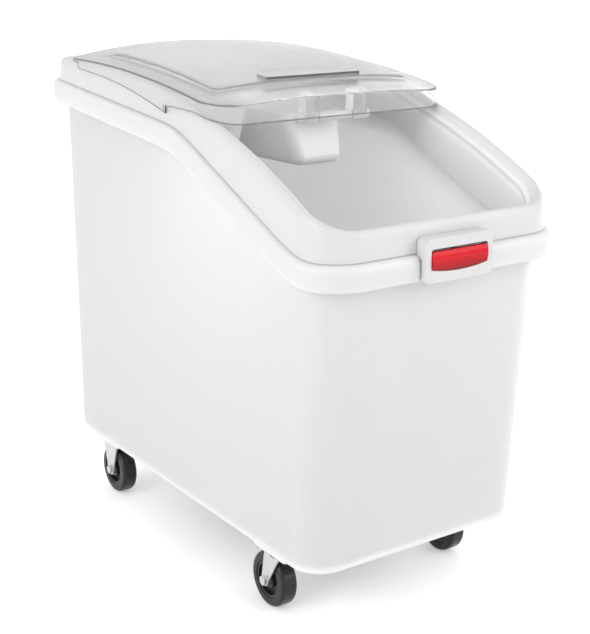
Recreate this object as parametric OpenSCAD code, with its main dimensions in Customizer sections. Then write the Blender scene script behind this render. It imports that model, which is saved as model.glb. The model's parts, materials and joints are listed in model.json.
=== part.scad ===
// Rolling flour bin: a slant-front tub on casters, with a latched lid frame, a clear sliding lid and a scoop.
// Millimetres, +Z up. The origin lies on the floor under the middle of the bin, and the latch faces -Y.

/* [Bin] */
// Length over the rim and the latch
bin_length = 759; // [745:1:780]
// Width over the rim
bin_width = 394; // [384:1:420]
// Height of the top of the lid above the floor
bin_height = 711; // [708:1:730]

/* [Tub] */
// Height of the tub's underside above the floor
tub_lift = 91; // [90:1:96]
// Thickness of the tub's walls
tub_wall = 4; // [3:0.5:5]
// Thickness of the tub's floor
tub_floor = 5; // [4:0.5:8]
// Radius of the tub's upright corners
tub_corner = 45; // [40:1:52]
// Radius of the edge round the tub's underside
tub_edge = 9; // [7:1:12]
// Lean of the side and rear walls, in degrees
side_draft = 0.2; // [0:0.1:0.6]
// Lean of the front wall, in degrees
front_draft = 4.3; // [3:0.1:5]

/* [Rim] */
// How far the rim stands out from the wall
rim_overhang = 21; // [19:0.5:23]
// Height of the rolled rim
rim_depth = 32; // [28:1:36]
// Depth of the rim's top below the lid's top, along the front
rim_front_drop = 211; // [205:1:218]
// Depth of the rim's top below the lid's top, at the upper end of the slope
rim_bend_drop = 89; // [84:1:98]
// Depth of the rim's top below the lid's top, at the rear
rim_rear_drop = 54; // [50:1:64]
// Distance from the rim's front back to the foot of the slope
slope_start = 60; // [50:1:80]
// Distance from the rim's front back to the top of the slope
slope_end = 340; // [310:1:370]

/* [Lid frame] */
// How far the frame's outer face lies inside the rim's edge
frame_inset = 10; // [9:0.5:12]
// Width of the frame's rails
frame_rail = 27; // [24:1:30]
// Height of the rounded top of the rails
rail_drop = 20; // [16:1:22]
// Thickness of the frame's sheet
frame_sheet = 3; // [2.5:0.5:4]
// Rise of the front rail's top above the rim
frame_rise = 36.5; // [34:0.5:40]
// Distance from the rim's rear forward to the highest point of the rails
crest_setback = 179.5; // [170:0.5:190]
// Depth of the deck below the rails
deck_depth = 12; // [10:1:14]
// Distance from the lid's front edge back to the deck's front edge
deck_setback = 168; // [155:1:180]

/* [Sliding lid] */
// Thickness of the lid's sheet
lid_sheet = 2.5; // [2:0.5:3]
// Clearance between the lid's skirts and the frame
lid_side_gap = 1.5; // [1:0.25:2]
// Distance from the rim's front back to the lid's front edge
lid_front_setback = 236.5; // [228:0.5:245]
// Distance from the rim's rear forward to the lid's rear edge
lid_rear_setback = 92.5; // [87:0.5:100]
// Distance from the rim's rear forward to the highest point of the lid
lid_top_setback = 147.5; // [143:0.5:152]
// Height of the lid's front lip above the rails
lip_height = 22; // [20:0.5:24]
// Rise of the lid's middle above its side edges, at the rear
lid_crown = 18; // [14:1:20]
// Rise of the lid's middle above its side edges, at the front
lid_front_crown = 8; // [6:1:12]
// Rise of the lid's raised panel
panel_rise = 4.5; // [3:0.5:5]
// Width of the border round the raised panel
panel_border = 44; // [38:1:50]
// Radius of the lid's corners
lid_corner = 46; // [40:1:52]
// Drop of the side skirts at their front ends
skirt_drop = 26; // [20:1:28]
// Width of the finger ridge on the panel
ridge_width = 150; // [120:1:170]

/* [Latch] */
// How far the latch stands out from the rim
latch_stands_out = 10; // [9:0.5:12]
// Width of the latch bezel
bezel_width = 104; // [98:1:112]
// Height of the latch bezel
bezel_height = 54; // [52:1:56]
// Width of the bezel's face on each side of the lever
bezel_cheek = 8.5; // [7:0.5:11]
// Height of the bezel's face above and below the lever's ends
bezel_band = 16.5; // [15.5:0.5:17.5]
// How much deeper the lever is in its middle than at its ends
lever_belly = 4.5; // [3:0.5:5.5]
// Radius of the latch pin
latch_pin_radius = 2; // [1.5:0.25:2.5]

/* [Scoop] */
// Width of the scoop's bowl across its mouth
scoop_width = 124; // [114:1:134]
// Length of the scoop's bowl along its top
scoop_length = 150; // [140:1:165]
// Depth of the scoop's bowl
scoop_depth = 69; // [62:1:74]
// How far the bowl's closed end leans forward at its foot
scoop_lean = 21; // [14:1:26]
// Thickness of the scoop's walls
scoop_wall = 2.5; // [2:0.5:3]
// Radius of the scoop's grip bar
grip_radius = 6; // [5:0.5:7]
// Distance between the two scoop clips
clip_spacing = 76; // [70:1:82]

/* [Casters] */
// Diameter of the wheels
wheel_diameter = 76; // [74:1:76]
// Width of the tyres
tyre_width = 24; // [22:1:25]
// Distance of the wheels in from the rim's sides
wheel_inset = 52; // [51:1:58]
// Distance from the rim's front back to the front axles
front_wheel_setback = 176.5; // [168:0.5:190]
// Distance from the rim's rear forward to the rear axles
rear_wheel_setback = 121.5; // [114:0.5:135]
// Trail of the front wheels behind their kingpins
caster_trail = 20; // [16:1:24]
// Radius of the axle bolts
axle_radius = 4; // [3.5:0.25:4.5]
// Width of the caster plates
plate_width = 42; // [40:1:44]
// Length of the caster plates
plate_length = 70; // [68:1:74]
// Thickness of the caster plates and forks
plate_sheet = 2.5; // [2:0.25:3]

/* [Hidden] */

// Round faces are drawn with this many steps
$fn = 72;
hex_sides = 6;

// Colours
white_plastic = [0.93, 0.93, 0.93];
clear_plastic = [0.82, 0.84, 0.85, 0.45];
red_plastic = [0.82, 0.08, 0.1];
zinc = [0.75, 0.76, 0.78];
black_rubber = [0.1, 0.1, 0.1];
dark_plastic = [0.2, 0.2, 0.21];

// Clearances
overrun = 1;
seat_gap = 0.3;
frame_seat_gap = 0.6;
press_gap = 0.05;
run_gap = 0.08;
bolt_gap = 0.1;

// Rim, seen from above
rim_half = bin_width / 2;
rim_front_y = -bin_length / 2 + latch_stands_out;
rim_rear_y = bin_length / 2;
rim_corner = tub_corner + rim_overhang;
rim_front_z = bin_height - rim_front_drop;
rim_bend_z = bin_height - rim_bend_drop;
rim_rear_z = bin_height - rim_rear_drop;
slope_start_y = rim_front_y + slope_start;
slope_end_y = rim_front_y + slope_end;
slope_rise = (rim_bend_z - rim_front_z) / (slope_end - slope_start);
rear_rise = (rim_rear_z - rim_bend_z) / (rim_rear_y - slope_end_y);
bend_blend = 34;
foot_blend = 40;

// Tub outline at its underside, drawn in by the drafts
tub_half_top = rim_half - rim_overhang;
tub_draw_side = (rim_bend_z - tub_lift) * tan(side_draft);
tub_draw_front = (rim_front_z - tub_lift) * tan(front_draft);
rim_inner_drop = 2;

// Rim section: shares of the overhang outward and of the rim's height downward
rim_section_shares = [
    [0, 0.2], [0.66, 0.21], [0.8, 0.34], [0.8, 0.96], [0.87, 1], [0.96, 0.88],
    [1, 0.62], [0.99, 0.36], [0.92, 0.17], [0.76, 0.05], [0.5, 0]
];
// Gap in the rim for the latch, with the catch lip that the lever hooks under
notch_gap = 1.5;
notch_half = bezel_width / 2 + notch_gap;
notch_step = 1;
catch_overhang = 6;
catch_depth = 15;

// Stations round the tub and the frame
corner_steps = 8;
corner_angles = [for (i = [1 : corner_steps - 1]) 90 * i / corner_steps];
side_steps = 14;
side_shares = [for (i = [0 : side_steps]) i / side_steps];
notch_share = notch_half / (rim_half - rim_corner);
notch_step_share = notch_step / (rim_half - rim_corner);
notch_shares = [notch_share, notch_share + notch_step_share];
front_shares = [-1, -notch_shares[1], -notch_shares[0], 0, notch_shares[0], notch_shares[1], 1];

// Lid frame
frame_half = rim_half - frame_inset;
frame_skirt = 14;
// Rail section: shares of the rail's width inward and of the rail's drop downward
rail_shares = [
    [0.05, 0.75], [0.09, 0.35], [0.18, 0.08], [0.3, 0], [0.46, 0.07], [0.62, 0.3], [0.66, 0.42],
    [0.84, 0.62], [0.96, 1], [1, 1.3]
];
crest_share = 0.3;
inner_drops = 2;
lid_edge_rise = 4.5;
crest_top_y = rim_rear_y - crest_setback;
crest_top_z = bin_height - panel_rise - lid_crown - lid_edge_rise;
// The rails' curve runs from its top, where it is level, down to the front rail's top
crest_front_y = rim_front_y + frame_inset + crest_share * frame_rail;
crest_fall = crest_top_z - rim_front_z - frame_rise;
crest_radius = arc_radius(crest_top_y - crest_front_y, crest_fall);
slide_axis_z = crest_top_z - crest_radius;
deck_radius = crest_radius - deck_depth - frame_sheet;
deck_front_y = rim_front_y + lid_front_setback + deck_setback;
deck_inset_share = 0.74;
deck_half = frame_half - frame_rail * deck_inset_share;
deck_rear_y = rim_rear_y - frame_inset - frame_rail + frame_sheet / 2;

// Sliding lid
lid_half = frame_half + lid_side_gap + lid_sheet;
lid_front_y = rim_front_y + lid_front_setback;
lid_rear_y = rim_rear_y - lid_rear_setback;
lid_top_y = rim_rear_y - lid_top_setback;
lid_edge_z = crest_top_z + lid_edge_rise;
lid_rest_gap = 0.5;
lip_z = slide_arc(crest_radius + lid_rest_gap, lid_front_y);
lid_radius = arc_radius(lid_top_y - lid_front_y, lid_edge_z - lip_z - lip_height);
lid_edge = 3;
lid_rear_corner = 24;
panel_step = 5;
skirt_front_setback = 125;
skirt_rear_setback = 37;
skirt_front_y = lid_front_y + skirt_front_setback;
skirt_rear_y = lid_rear_y - skirt_rear_setback;
skirt_rear_drop = 9;
skirt_end = 1;
skirt_steps = 6;
skirt_notch_radius = 4.5;
skirt_notch_rise = 7.5;
lid_min_corner = 8;
// The turn from the lid's wall to its top: shares of the edge radius inward and downward
lid_turn_shares = [[0, 0.8], [0.33, 0.2], [1, 0]];
panel_shares = [0.2, 0.45, 0.7, 0.92];
ridge_depth = 46;
ridge_corner = 30;
ridge_rise = 4.5;
ridge_back = 1;
ridge_brow = 3;
ridge_root = 2;
ridge_tail = 0.4;

// Latch
bezel_below_rim = 7;
bezel_z = rim_front_z - bezel_below_rim;
lever_front_y = -bin_length / 2;
lever_proud = 2;
bezel_front_y = lever_front_y + lever_proud;
bezel_back_y = rim_front_y + frame_inset - seat_gap;
bezel_corner = 7;
bezel_wall = 3;
lever_width = bezel_width - 2 * bezel_cheek;
lever_height = bezel_height - 2 * bezel_band;
belly_radius = arc_radius(lever_width / 2, lever_belly);
lever_gap = 0.6;
lever_top_gap = 3.5;
lever_bulge_radius = 32;
lever_thickness = 7;
lever_pin_depth = 11.5;
lever_pin_y = lever_front_y + lever_pin_depth;
lever_boss_radius = 4.6;
lever_boss_inset = 13.5;
lever_boss_width = lever_width - 2 * lever_boss_inset;
hook_width = 24;
hook_arm = 4;
hook_height = 4.5;
hook_reach = 1.7;
catch_bottom_z = rim_front_z - catch_depth;
catch_front_y = rim_front_y + rim_overhang - catch_overhang;
spring_strip = 0.6;
spring_width = 14;
spring_leg = 12;
spring_tip = 2;

// Scoop
scoop_taper = 12;
scoop_nose_share = 0.75;
scoop_corner = 17;
scoop_grip_ahead = 46;
scoop_grip_behind = 15;
scoop_round = 14;
scoop_side_shares = [0, 0.5, 1];
scoop_front_shares = [-1, 0, 1];
grip_length = 118;
grip_below_lip = 1;
scoop_mouth_angle = 33;
clip_width = 22;
clip_wall = 2.6;
clip_gap = 0.2;
clip_arm = 5;
clip_lid_gap = 0.6;
neck_width = 46;
neck_thickness = 5;

// Casters
wheel_radius = wheel_diameter / 2;
wheel_x = rim_half - wheel_inset;
front_axle_y = rim_front_y + front_wheel_setback;
rear_axle_y = rim_rear_y - rear_wheel_setback;
kingpin_y = front_axle_y - caster_trail;
pad_height = 4;
pad_margin = 2;
pad_corner = 5;
plate_top_z = tub_lift - pad_height;
plate_bottom_z = plate_top_z - plate_sheet;
fork_gap = 1.5;
fork_inner = tyre_width / 2 + fork_gap;
fork_outer = fork_inner + plate_sheet;
screw_spacing_x = 24;
screw_spacing_y = 56;
screw_radius = 2.4;
screw_head_radius = 4.2;
screw_head = 2.2;
screw_bite = 6;
race_inner = 9;
race_outer = 17;
race_round = 1.6;
race_height = 4.8;
crown_top_z = plate_bottom_z - race_height;
crown_bottom_z = crown_top_z - plate_sheet;
crown_radius = 18;
kingpin_radius = 4;
kingpin_head_radius = 6.5;
kingpin_head = 1.6;
leg_top_half = 11;
leg_end_radius = 8;
rear_leg_top_half = 22;
rear_leg_end_radius = 9;
core_radius = 26;
core_width = 22;
core_web = 8;
core_rim = 4;
core_hub_radius = 12;
bush_radius = 6.5;
tyre_round = 5;
bolt_head = 4;
bolt_head_radius = 7;
nut_height = 5;
nut_radius = 7;
bolt_tail = 2;

// Height of a line that turns smoothly from level to a slope m at u = 0, over b on each side
function bend(u, m, b) = u < -b ? 0 : u > b ? m * u : m * (u + b) * (u + b) / (4 * b);

// Radius of an arc that is level at its top and falls by a drop over a distance
function arc_radius(distance, drop) = (distance * distance + drop * drop) / (2 * drop);

// Height of the rim's top at a place along the bin
function rim_top(y) =
    rim_front_z + bend(y - slope_start_y, slope_rise, foot_blend)
    + bend(y - slope_end_y, rear_rise - slope_rise, bend_blend);

// Height of an arc about the slide axis, level behind its top
function slide_arc(radius, y) =
    slide_axis_z + (y > crest_top_y ? radius : sqrt(radius * radius - pow(y - crest_top_y, 2)));

// Height of the lid's top surface, without its panel
function lid_top(x, y) =
    let (back_share = min(1, (y - lid_front_y) / (lid_top_y - lid_front_y)))
    let (crown = lid_front_crown + back_share * (lid_crown - lid_front_crown))
    lid_edge_z - lid_radius + sqrt(lid_radius * lid_radius - pow(y - lid_top_y, 2))
    + crown * (1 - pow(x / lid_half, 2));

// Points of a rounded rectangle, anticlockwise from above, starting on the right side
function outline(half, front, rear, corner, sides, fronts, rear_corner = undef) =
    let (back = is_undef(rear_corner) ? corner : rear_corner)
    let (y0 = front + corner, y1 = rear - back, x0 = half - corner, x1 = half - back)
    concat(
        [for (s = sides) [half, y0 + s * (y1 - y0)]],
        [for (a = corner_angles) [x1 + back * cos(a), y1 + back * sin(a)]],
        [for (s = fronts) [-s * x1, rear]],
        [for (a = corner_angles) [-x1 - back * sin(a), y1 + back * cos(a)]],
        [for (i = [len(sides) - 1 : -1 : 0]) [-half, y0 + sides[i] * (y1 - y0)]],
        [for (a = corner_angles) [-x0 - corner * cos(a), y0 - corner * sin(a)]],
        [for (s = fronts) [s * x0, front]],
        [for (a = corner_angles) [x0 + corner * sin(a), y0 - corner * cos(a)]]
    );

// The rim's outline drawn in by a distance
function rim_outline(inset) =
    outline(
        rim_half - inset, rim_front_y + inset, rim_rear_y - inset, rim_corner - inset,
        side_shares, front_shares
    );

// The tub's underside outline drawn in by a distance
function base_outline(inset) =
    outline(
        tub_half_top - tub_draw_side - inset,
        rim_front_y + rim_overhang + tub_draw_front + inset,
        rim_rear_y - rim_overhang - tub_draw_side - inset,
        tub_corner - inset, side_shares, front_shares
    );

// Points of an outline lifted to one height
function level(points, z) = [for (p = points) [p.x, p.y, z]];

// Middle of a ring of points
function middle(ring) = [for (p = ring) 1] * ring / len(ring);

// A skin over rings of equally many points, closed at both ends or joined end to end
module skin(rings, capped = true) {
    count = len(rings[0]);
    last = len(rings) - 1;
    points = concat([for (ring = rings) each ring], [middle(rings[0]), middle(rings[last])]);
    first_middle = len(points) - 2;
    last_middle = len(points) - 1;
    sides = [
        for (i = [0 : capped ? last - 1 : last])
            for (j = [0 : count - 1])
                let (here = i * count, next = (i == last ? 0 : i + 1) * count, k = (j + 1) % count)
                each [[here + j, next + j, next + k], [here + j, next + k, here + k]]
    ];
    bottom = [for (j = [0 : count - 1]) [first_middle, j, (j + 1) % count]];
    top = [for (j = [0 : count - 1]) [last_middle, last * count + (j + 1) % count, last * count + j]];
    polyhedron(points, capped ? concat(sides, bottom, top) : sides);
}

// A rectangle with round corners, centred
module rounded_rect(width, height, corner) {
    square([width - 2 * corner, height], center = true);
    square([width, height - 2 * corner], center = true);
    for (x = [-1, 1])
        for (y = [-1, 1])
            translate([x * (width / 2 - corner), y * (height / 2 - corner)])
                circle(r = corner);
}

// Stands an outline drawn in X and Z upright and runs it forward, towards -Y
module forward(depth) {
    rotate([90, 0, 0])
        linear_extrude(depth)
            children();
}

// Runs an outline drawn in Y and Z along X, centred
module across(width) {
    rotate([90, 0, 90])
        translate([0, 0, -width / 2])
            linear_extrude(width)
                children();
}

// A cylinder along X, centred
module rod(radius, length) {
    rotate([0, 90, 0])
        cylinder(r = radius, h = length, center = true);
}

// Tub
station = rim_outline(0);
rim_z = [for (p = station) rim_top(p.y)];

// Is this station inside the gap for the latch?
function in_notch(p) = p.y < slope_start_y && abs(p.x) < notch_half + notch_step / 2;

// One ring of the rim, at a share of the overhang outward and of the rim's height downward
function rim_ring(shares) =
    let (inner = rim_outline(rim_overhang))
    [
        for (i = [0 : len(station) - 1])
            let (
                notched = in_notch(station[i]),
                out = shares[0] * (notched ? catch_overhang : rim_overhang) / rim_overhang,
                down = shares[1] * (notched ? catch_depth : rim_depth),
                p = inner[i] + out * (station[i] - inner[i])
            )
            [p.x, p.y, rim_z[i] - down]
    ];

// One ring of the tub's inner wall, at a depth below the rim
function inner_ring(inset, below) =
    let (points = rim_outline(rim_overhang + inset))
    [for (i = [0 : len(points) - 1]) [points[i].x, points[i].y, rim_z[i] - below]];

module tub_shell() {
    edge_steps = 3;
    skin(concat(
        [
            for (i = [0 : edge_steps])
                let (a = 90 * i / edge_steps)
                level(base_outline(tub_edge * (1 - sin(a))), tub_lift + tub_edge * (1 - cos(a)))
        ],
        [for (shares = rim_section_shares) rim_ring(shares)],
        [inner_ring(tub_wall / 2, 0), inner_ring(tub_wall, rim_inner_drop)],
        [
            for (i = [edge_steps : -1 : 0])
                let (a = 90 * i / edge_steps)
                level(
                    base_outline(tub_wall + tub_edge * (1 - sin(a))),
                    tub_lift + tub_floor + tub_edge * (1 - cos(a))
                )
        ]
    ));
}

// Middles of the four caster plates
caster_places = [
    for (side = [-1, 1])
        for (y = [kingpin_y, rear_axle_y])
            [side * wheel_x, y]
];

module at_screws() {
    for (x = [-1, 1])
        for (y = [-1, 1])
            translate([x * screw_spacing_x / 2, y * screw_spacing_y / 2])
                children();
}

module tub() {
    color(white_plastic)
    difference() {
        union() {
            tub_shell();
            for (p = caster_places)
                translate([p.x, p.y, plate_top_z])
                    linear_extrude(pad_height + tub_floor / 2)
                        rounded_rect(plate_width + 2 * pad_margin, plate_length + 2 * pad_margin, pad_corner);
        }
        for (p = caster_places)
            translate([p.x, p.y, plate_top_z - overrun])
                at_screws()
                    cylinder(r = screw_radius + bolt_gap, h = screw_bite + overrun);
    }
}

// Lid frame
crest_line = rim_outline(frame_inset + crest_share * frame_rail);
crest_z = [for (p = crest_line) slide_arc(crest_radius, p.y)];

// Outer line of the rail's section at one station, as distance inward and height
function rail_line(i) =
    concat(
        [[0, rim_z[i] + frame_seat_gap]],
        [for (s = rail_shares) [s[0] * frame_rail, crest_z[i] - s[1] * rail_drop]],
        [[frame_rail, min(rim_z[i] - frame_skirt, crest_z[i] - inner_drops * rail_drop)]]
    );

// Unit vector to the right of the way from a to b
function right_of(a, b) = let (d = b - a) [d.y, -d.x] / norm(d);

// A line moved to its right by a distance
function moved_right(line, distance) =
    let (last = len(line) - 1)
    [
        for (i = [0 : last])
            line[i] + distance * right_of(line[max(i - 1, 0)], line[min(i + 1, last)])
    ];

module frame_ring() {
    lines = [for (i = [0 : len(station) - 1]) rail_line(i)];
    inner_lines = [for (line = lines) moved_right(line, frame_sheet)];
    last = len(lines[0]) - 1;
    loops = [for (i = [0 : len(lines) - 1]) concat(lines[i], [for (k = [last : -1 : 0]) inner_lines[i][k]])];
    // Every station's section turns about the rim's outline, so the sections stay square to it
    inward = rim_outline(frame_inset + frame_rail);
    outer = rim_outline(frame_inset);
    skin(
        [
            for (k = [0 : len(loops[0]) - 1])
                [
                    for (i = [0 : len(station) - 1])
                        let (p = outer[i] + (inward[i] - outer[i]) * loops[i][k][0] / frame_rail)
                        [p.x, p.y, loops[i][k][1]]
                ]
        ],
        capped = false
    );
}

module deck() {
    rear_angle = acos((deck_rear_y - crest_top_y) / deck_radius);
    front_angle = acos((deck_front_y - crest_top_y) / deck_radius);
    translate([0, crest_top_y, slide_axis_z])
        rotate([90, 0, 90])
            rotate_extrude(angle = front_angle - rear_angle, start = rear_angle)
                translate([deck_radius, -deck_half])
                    square([frame_sheet, 2 * deck_half]);
}

module lid_frame() {
    color(white_plastic) {
        frame_ring();
        deck();
    }
}

// Latch
// The lever's outline with a margin round it: straight on top, with a curved lower edge
module lever_outline(margin) {
    intersection() {
        translate([0, -lever_belly / 2])
            rounded_rect(lever_width + 2 * margin, lever_height + lever_belly + 2 * margin, bezel_wall);
        translate([0, belly_radius - lever_height / 2 - lever_belly])
            circle(r = belly_radius + margin);
    }
}

module latch_bezel() {
    depth = bezel_back_y - bezel_front_y;
    window_height = lever_height + lever_gap + lever_top_gap;
    hollow_width = bezel_width - 2 * bezel_wall;
    hollow_height = bezel_height - 2 * bezel_wall;
    color(white_plastic)
    difference() {
        translate([0, bezel_back_y, bezel_z])
            forward(depth)
                rounded_rect(bezel_width, bezel_height, bezel_corner);
        translate([0, bezel_back_y + overrun, bezel_z])
            forward(depth - bezel_wall + overrun)
                rounded_rect(hollow_width, hollow_height, bezel_corner - bezel_wall);
        translate([0, bezel_back_y, bezel_z + (lever_top_gap - lever_gap) / 2])
            forward(depth + overrun)
                rounded_rect(lever_width + 2 * lever_gap, window_height, bezel_wall);
        translate([0, bezel_back_y, bezel_z])
            forward(depth + overrun)
                lever_outline(lever_gap);
        translate([0, lever_pin_y, bezel_z])
            rod(latch_pin_radius + press_gap, bezel_width + overrun);
    }
}

module latch_lever() {
    back_y = lever_front_y + lever_thickness;
    arm_front_y = lever_pin_y + lever_boss_radius - hook_arm;
    hook_top_z = catch_bottom_z - seat_gap;
    hook_tip_y = catch_front_y + hook_reach;
    color(red_plastic)
    difference() {
        union() {
            intersection() {
                translate([0, back_y, bezel_z])
                    forward(lever_thickness)
                        lever_outline(0);
                translate([0, lever_front_y + lever_bulge_radius, bezel_z])
                    rod(lever_bulge_radius, lever_width);
            }
            translate([0, back_y, bezel_z])
                across(lever_boss_width)
                    translate([-overrun, -lever_boss_radius])
                        square([lever_pin_y - back_y + overrun, 2 * lever_boss_radius]);
            translate([0, lever_pin_y, bezel_z])
                rod(lever_boss_radius, lever_boss_width);
            translate([0, arm_front_y, hook_top_z - hook_height])
                across(hook_width)
                    square([hook_arm, bezel_z - hook_top_z + hook_height]);
            translate([0, arm_front_y, hook_top_z - hook_height])
                across(hook_width)
                    square([hook_tip_y - arm_front_y, hook_height]);
        }
        translate([0, lever_pin_y, bezel_z])
            rod(latch_pin_radius + run_gap, bezel_width);
    }
}

module latch_pin() {
    color(zinc)
        translate([0, lever_pin_y, bezel_z])
            rod(latch_pin_radius, bezel_width - 2 * seat_gap);
}

// A bent strip between the frame's front wall and the back of the lever's top
module latch_spring() {
    wall_y = rim_front_y + frame_inset - 2 * seat_gap;
    lever_y = lever_front_y + lever_thickness + seat_gap;
    top_z = bezel_z + bezel_height / 2 - bezel_wall - seat_gap;
    low_z = bezel_z + lever_height / 2 - bezel_wall;
    color(zinc)
        across(spring_width)
            polygon([
                [wall_y, top_z], [wall_y, top_z - spring_leg], [lever_y + spring_strip, low_z + spring_strip],
                [lever_y + spring_strip, low_z - spring_tip], [lever_y, low_z - spring_tip],
                [lever_y, low_z + spring_strip], [wall_y - spring_strip, top_z - spring_leg + spring_strip],
                [wall_y - spring_strip, top_z]
            ]);
}

// Sliding lid
lid_side_y0 = lid_front_y + lid_corner;
lid_side_y1 = lid_rear_y - lid_rear_corner;
lid_half_inner = lid_half - lid_sheet;

// Share of the lid's straight side at a place along the bin
function lid_share(y) = (y - lid_side_y0) / (lid_side_y1 - lid_side_y0);
lid_side_shares = concat(
    [0, lid_share(skirt_front_y - skirt_end)],
    [for (i = [0 : skirt_steps]) lid_share(skirt_front_y + i * (skirt_rear_y - skirt_front_y) / skirt_steps)],
    [lid_share(skirt_rear_y + skirt_end), 1]
);
lid_front_half_share = 0.5;
lid_front_shares = [-1, -lid_front_half_share, 0, lid_front_half_share, 1];

function lid_outline(inset) =
    outline(
        lid_half - inset, lid_front_y + inset, lid_rear_y - inset, max(lid_corner - inset, lid_min_corner),
        lid_side_shares, lid_front_shares, max(lid_rear_corner - inset, lid_min_corner)
    );

// Is this point of the lid's edge on a side skirt?
function on_skirt(p) =
    let (low_y = skirt_front_y - skirt_end / 2, high_y = skirt_rear_y + skirt_end / 2)
    abs(p.x) > lid_half_inner - lid_sheet && p.y > low_y && p.y < high_y;

// Height of the lid's lower edge: on the rails, or at the foot of a skirt
function lid_bottom(p) =
    let (share = (skirt_rear_y - p.y) / (skirt_rear_y - skirt_front_y))
    on_skirt(p)
        ? slide_arc(crest_radius - skirt_rear_drop - share * (skirt_drop - skirt_rear_drop), p.y)
        : slide_arc(crest_radius + lid_rest_gap, p.y);

// A ring of the lid at an inset from its edge, lying a distance below its top surface
function lid_ring(inset, below) =
    [for (p = lid_outline(inset)) [p.x, p.y, lid_top(p.x, p.y) - below]];

function lid_edge_ring(inset) = [for (p = lid_outline(inset)) [p.x, p.y, lid_bottom(p)]];

module lid_shell() {
    panel_reach = lid_half - panel_border - panel_step;
    panel_insets = [for (s = panel_shares) panel_border + panel_step + s * panel_reach];
    lower = concat(
        [for (k = [len(panel_insets) - 1 : -1 : 0]) lid_ring(panel_insets[k], lid_sheet - panel_rise)],
        [lid_ring(panel_border + panel_step, lid_sheet - panel_rise), lid_ring(panel_border, lid_sheet)],
        [lid_ring(lid_sheet + lid_edge, lid_sheet), lid_ring(lid_sheet, lid_edge), lid_edge_ring(lid_sheet)]
    );
    upper = concat(
        [lid_edge_ring(0)],
        [for (s = lid_turn_shares) lid_ring(s[0] * lid_edge, s[1] * lid_edge)],
        [lid_ring(panel_border, 0), lid_ring(panel_border + panel_step, -panel_rise)],
        [for (inset = panel_insets) lid_ring(inset, -panel_rise)]
    );
    skin(concat(lower, upper));
}

// A low wedge on the panel, steep in front and rounded behind, to push the lid by
module finger_ridge() {
    front_y = lid_front_y + panel_border + panel_step + ridge_back;
    rear_y = front_y + ridge_depth;
    front_z = lid_top(0, front_y) + panel_rise;
    rear_z = lid_top(0, rear_y) + panel_rise;
    intersection() {
        across(ridge_width)
            polygon([
                [front_y, front_z - ridge_root], [rear_y, rear_z - ridge_root], [rear_y, rear_z + ridge_tail],
                [front_y + ridge_brow, front_z + ridge_rise], [front_y, front_z + ridge_rise]
            ]);
        translate([0, rear_y - ridge_depth, front_z - ridge_rise])
            linear_extrude(rear_z - front_z + 2 * ridge_rise)
                rounded_rect(ridge_width, 2 * ridge_depth, ridge_corner);
    }
}

module sliding_lid() {
    notch_z = slide_arc(crest_radius - skirt_drop, skirt_front_y) + skirt_notch_rise;
    color(clear_plastic)
    difference() {
        union() {
            lid_shell();
            finger_ridge();
        }
        translate([0, skirt_front_y, notch_z])
            rod(skirt_notch_radius, 2 * (lid_half + overrun));
    }
}

// Scoop and its clips
grip_y = lid_front_y + scoop_grip_behind;
grip_z = lip_z - grip_below_lip;
scoop_half = scoop_width / 2;
scoop_front_y = grip_y + scoop_grip_ahead;
scoop_rear_y = scoop_front_y + scoop_length;
scoop_bottom_z = grip_z - scoop_depth;

// An upright U that opens downward round the grip, hung from the lid
module scoop_clip(side) {
    inner = grip_radius + clip_gap;
    outer = inner + clip_wall;
    far_x = (clip_spacing + clip_width) / 2;
    stem_y = [grip_y - outer, grip_y + outer];
    stem_z = [for (y = stem_y) lid_top(far_x, y) - lid_sheet - clip_lid_gap];
    color(clear_plastic)
        translate([side * clip_spacing / 2, 0, 0])
            across(clip_width)
                difference() {
                    polygon([
                        [stem_y[0], grip_z - clip_arm], [stem_y[1], grip_z - clip_arm],
                        [stem_y[1], stem_z[1]], [stem_y[0], stem_z[0]]
                    ]);
                    translate([grip_y, grip_z])
                        circle(r = inner);
                    translate([grip_y - inner, grip_z - clip_arm - overrun])
                        square([2 * inner, clip_arm + overrun]);
                }
}

// Share of the scoop's width at a place along it: narrow at its closed end, full at its mouth
function scoop_spread(y) =
    let (nose_y = scoop_front_y - scoop_lean)
    scoop_nose_share + (1 - scoop_nose_share) * (y - nose_y) / (scoop_rear_y - nose_y);

// One ring of the scoop's bowl at a share of its height, drawn in by a distance
function scoop_ring(share, inset, z) =
    let (in = (1 - share) * scoop_taper, ahead = (1 - share) * scoop_lean)
    let (points = outline(
        scoop_half - in - inset, scoop_front_y - ahead + inset, scoop_rear_y - in - inset,
        scoop_corner - inset, scoop_side_shares, scoop_front_shares
    ))
    [for (p = points) [p.x * scoop_spread(p.y), p.y, z]];

module scoop_bowl() {
    round_steps = 3;
    skin(concat(
        [
            for (i = [0 : round_steps])
                let (a = 90 * i / round_steps)
                scoop_ring(0, scoop_round * (1 - sin(a)), scoop_bottom_z + scoop_round * (1 - cos(a)))
        ],
        [scoop_ring(1, 0, grip_z), scoop_ring(1, scoop_wall, grip_z)],
        [
            for (i = [round_steps : -1 : 0])
                let (a = 90 * i / round_steps)
                scoop_ring(
                    0, scoop_wall + scoop_round * (1 - sin(a)),
                    scoop_bottom_z + scoop_wall + scoop_round * (1 - cos(a))
                )
        ]
    ));
}

module scoop() {
    reach = scoop_length;
    color(white_plastic) {
        difference() {
            scoop_bowl();
            translate([0, scoop_rear_y - scoop_taper - scoop_round, scoop_bottom_z])
                rotate([scoop_mouth_angle, 0, 0])
                    translate([-scoop_width / 2, 0, -reach / 2])
                        cube([scoop_width, reach, 2 * reach]);
        }
        translate([0, grip_y, grip_z])
            rod(grip_radius, grip_length);
        translate([0, grip_y, grip_z - neck_thickness])
            across(neck_width)
                square([scoop_grip_ahead + scoop_wall / 2, neck_thickness]);
    }
}

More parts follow.
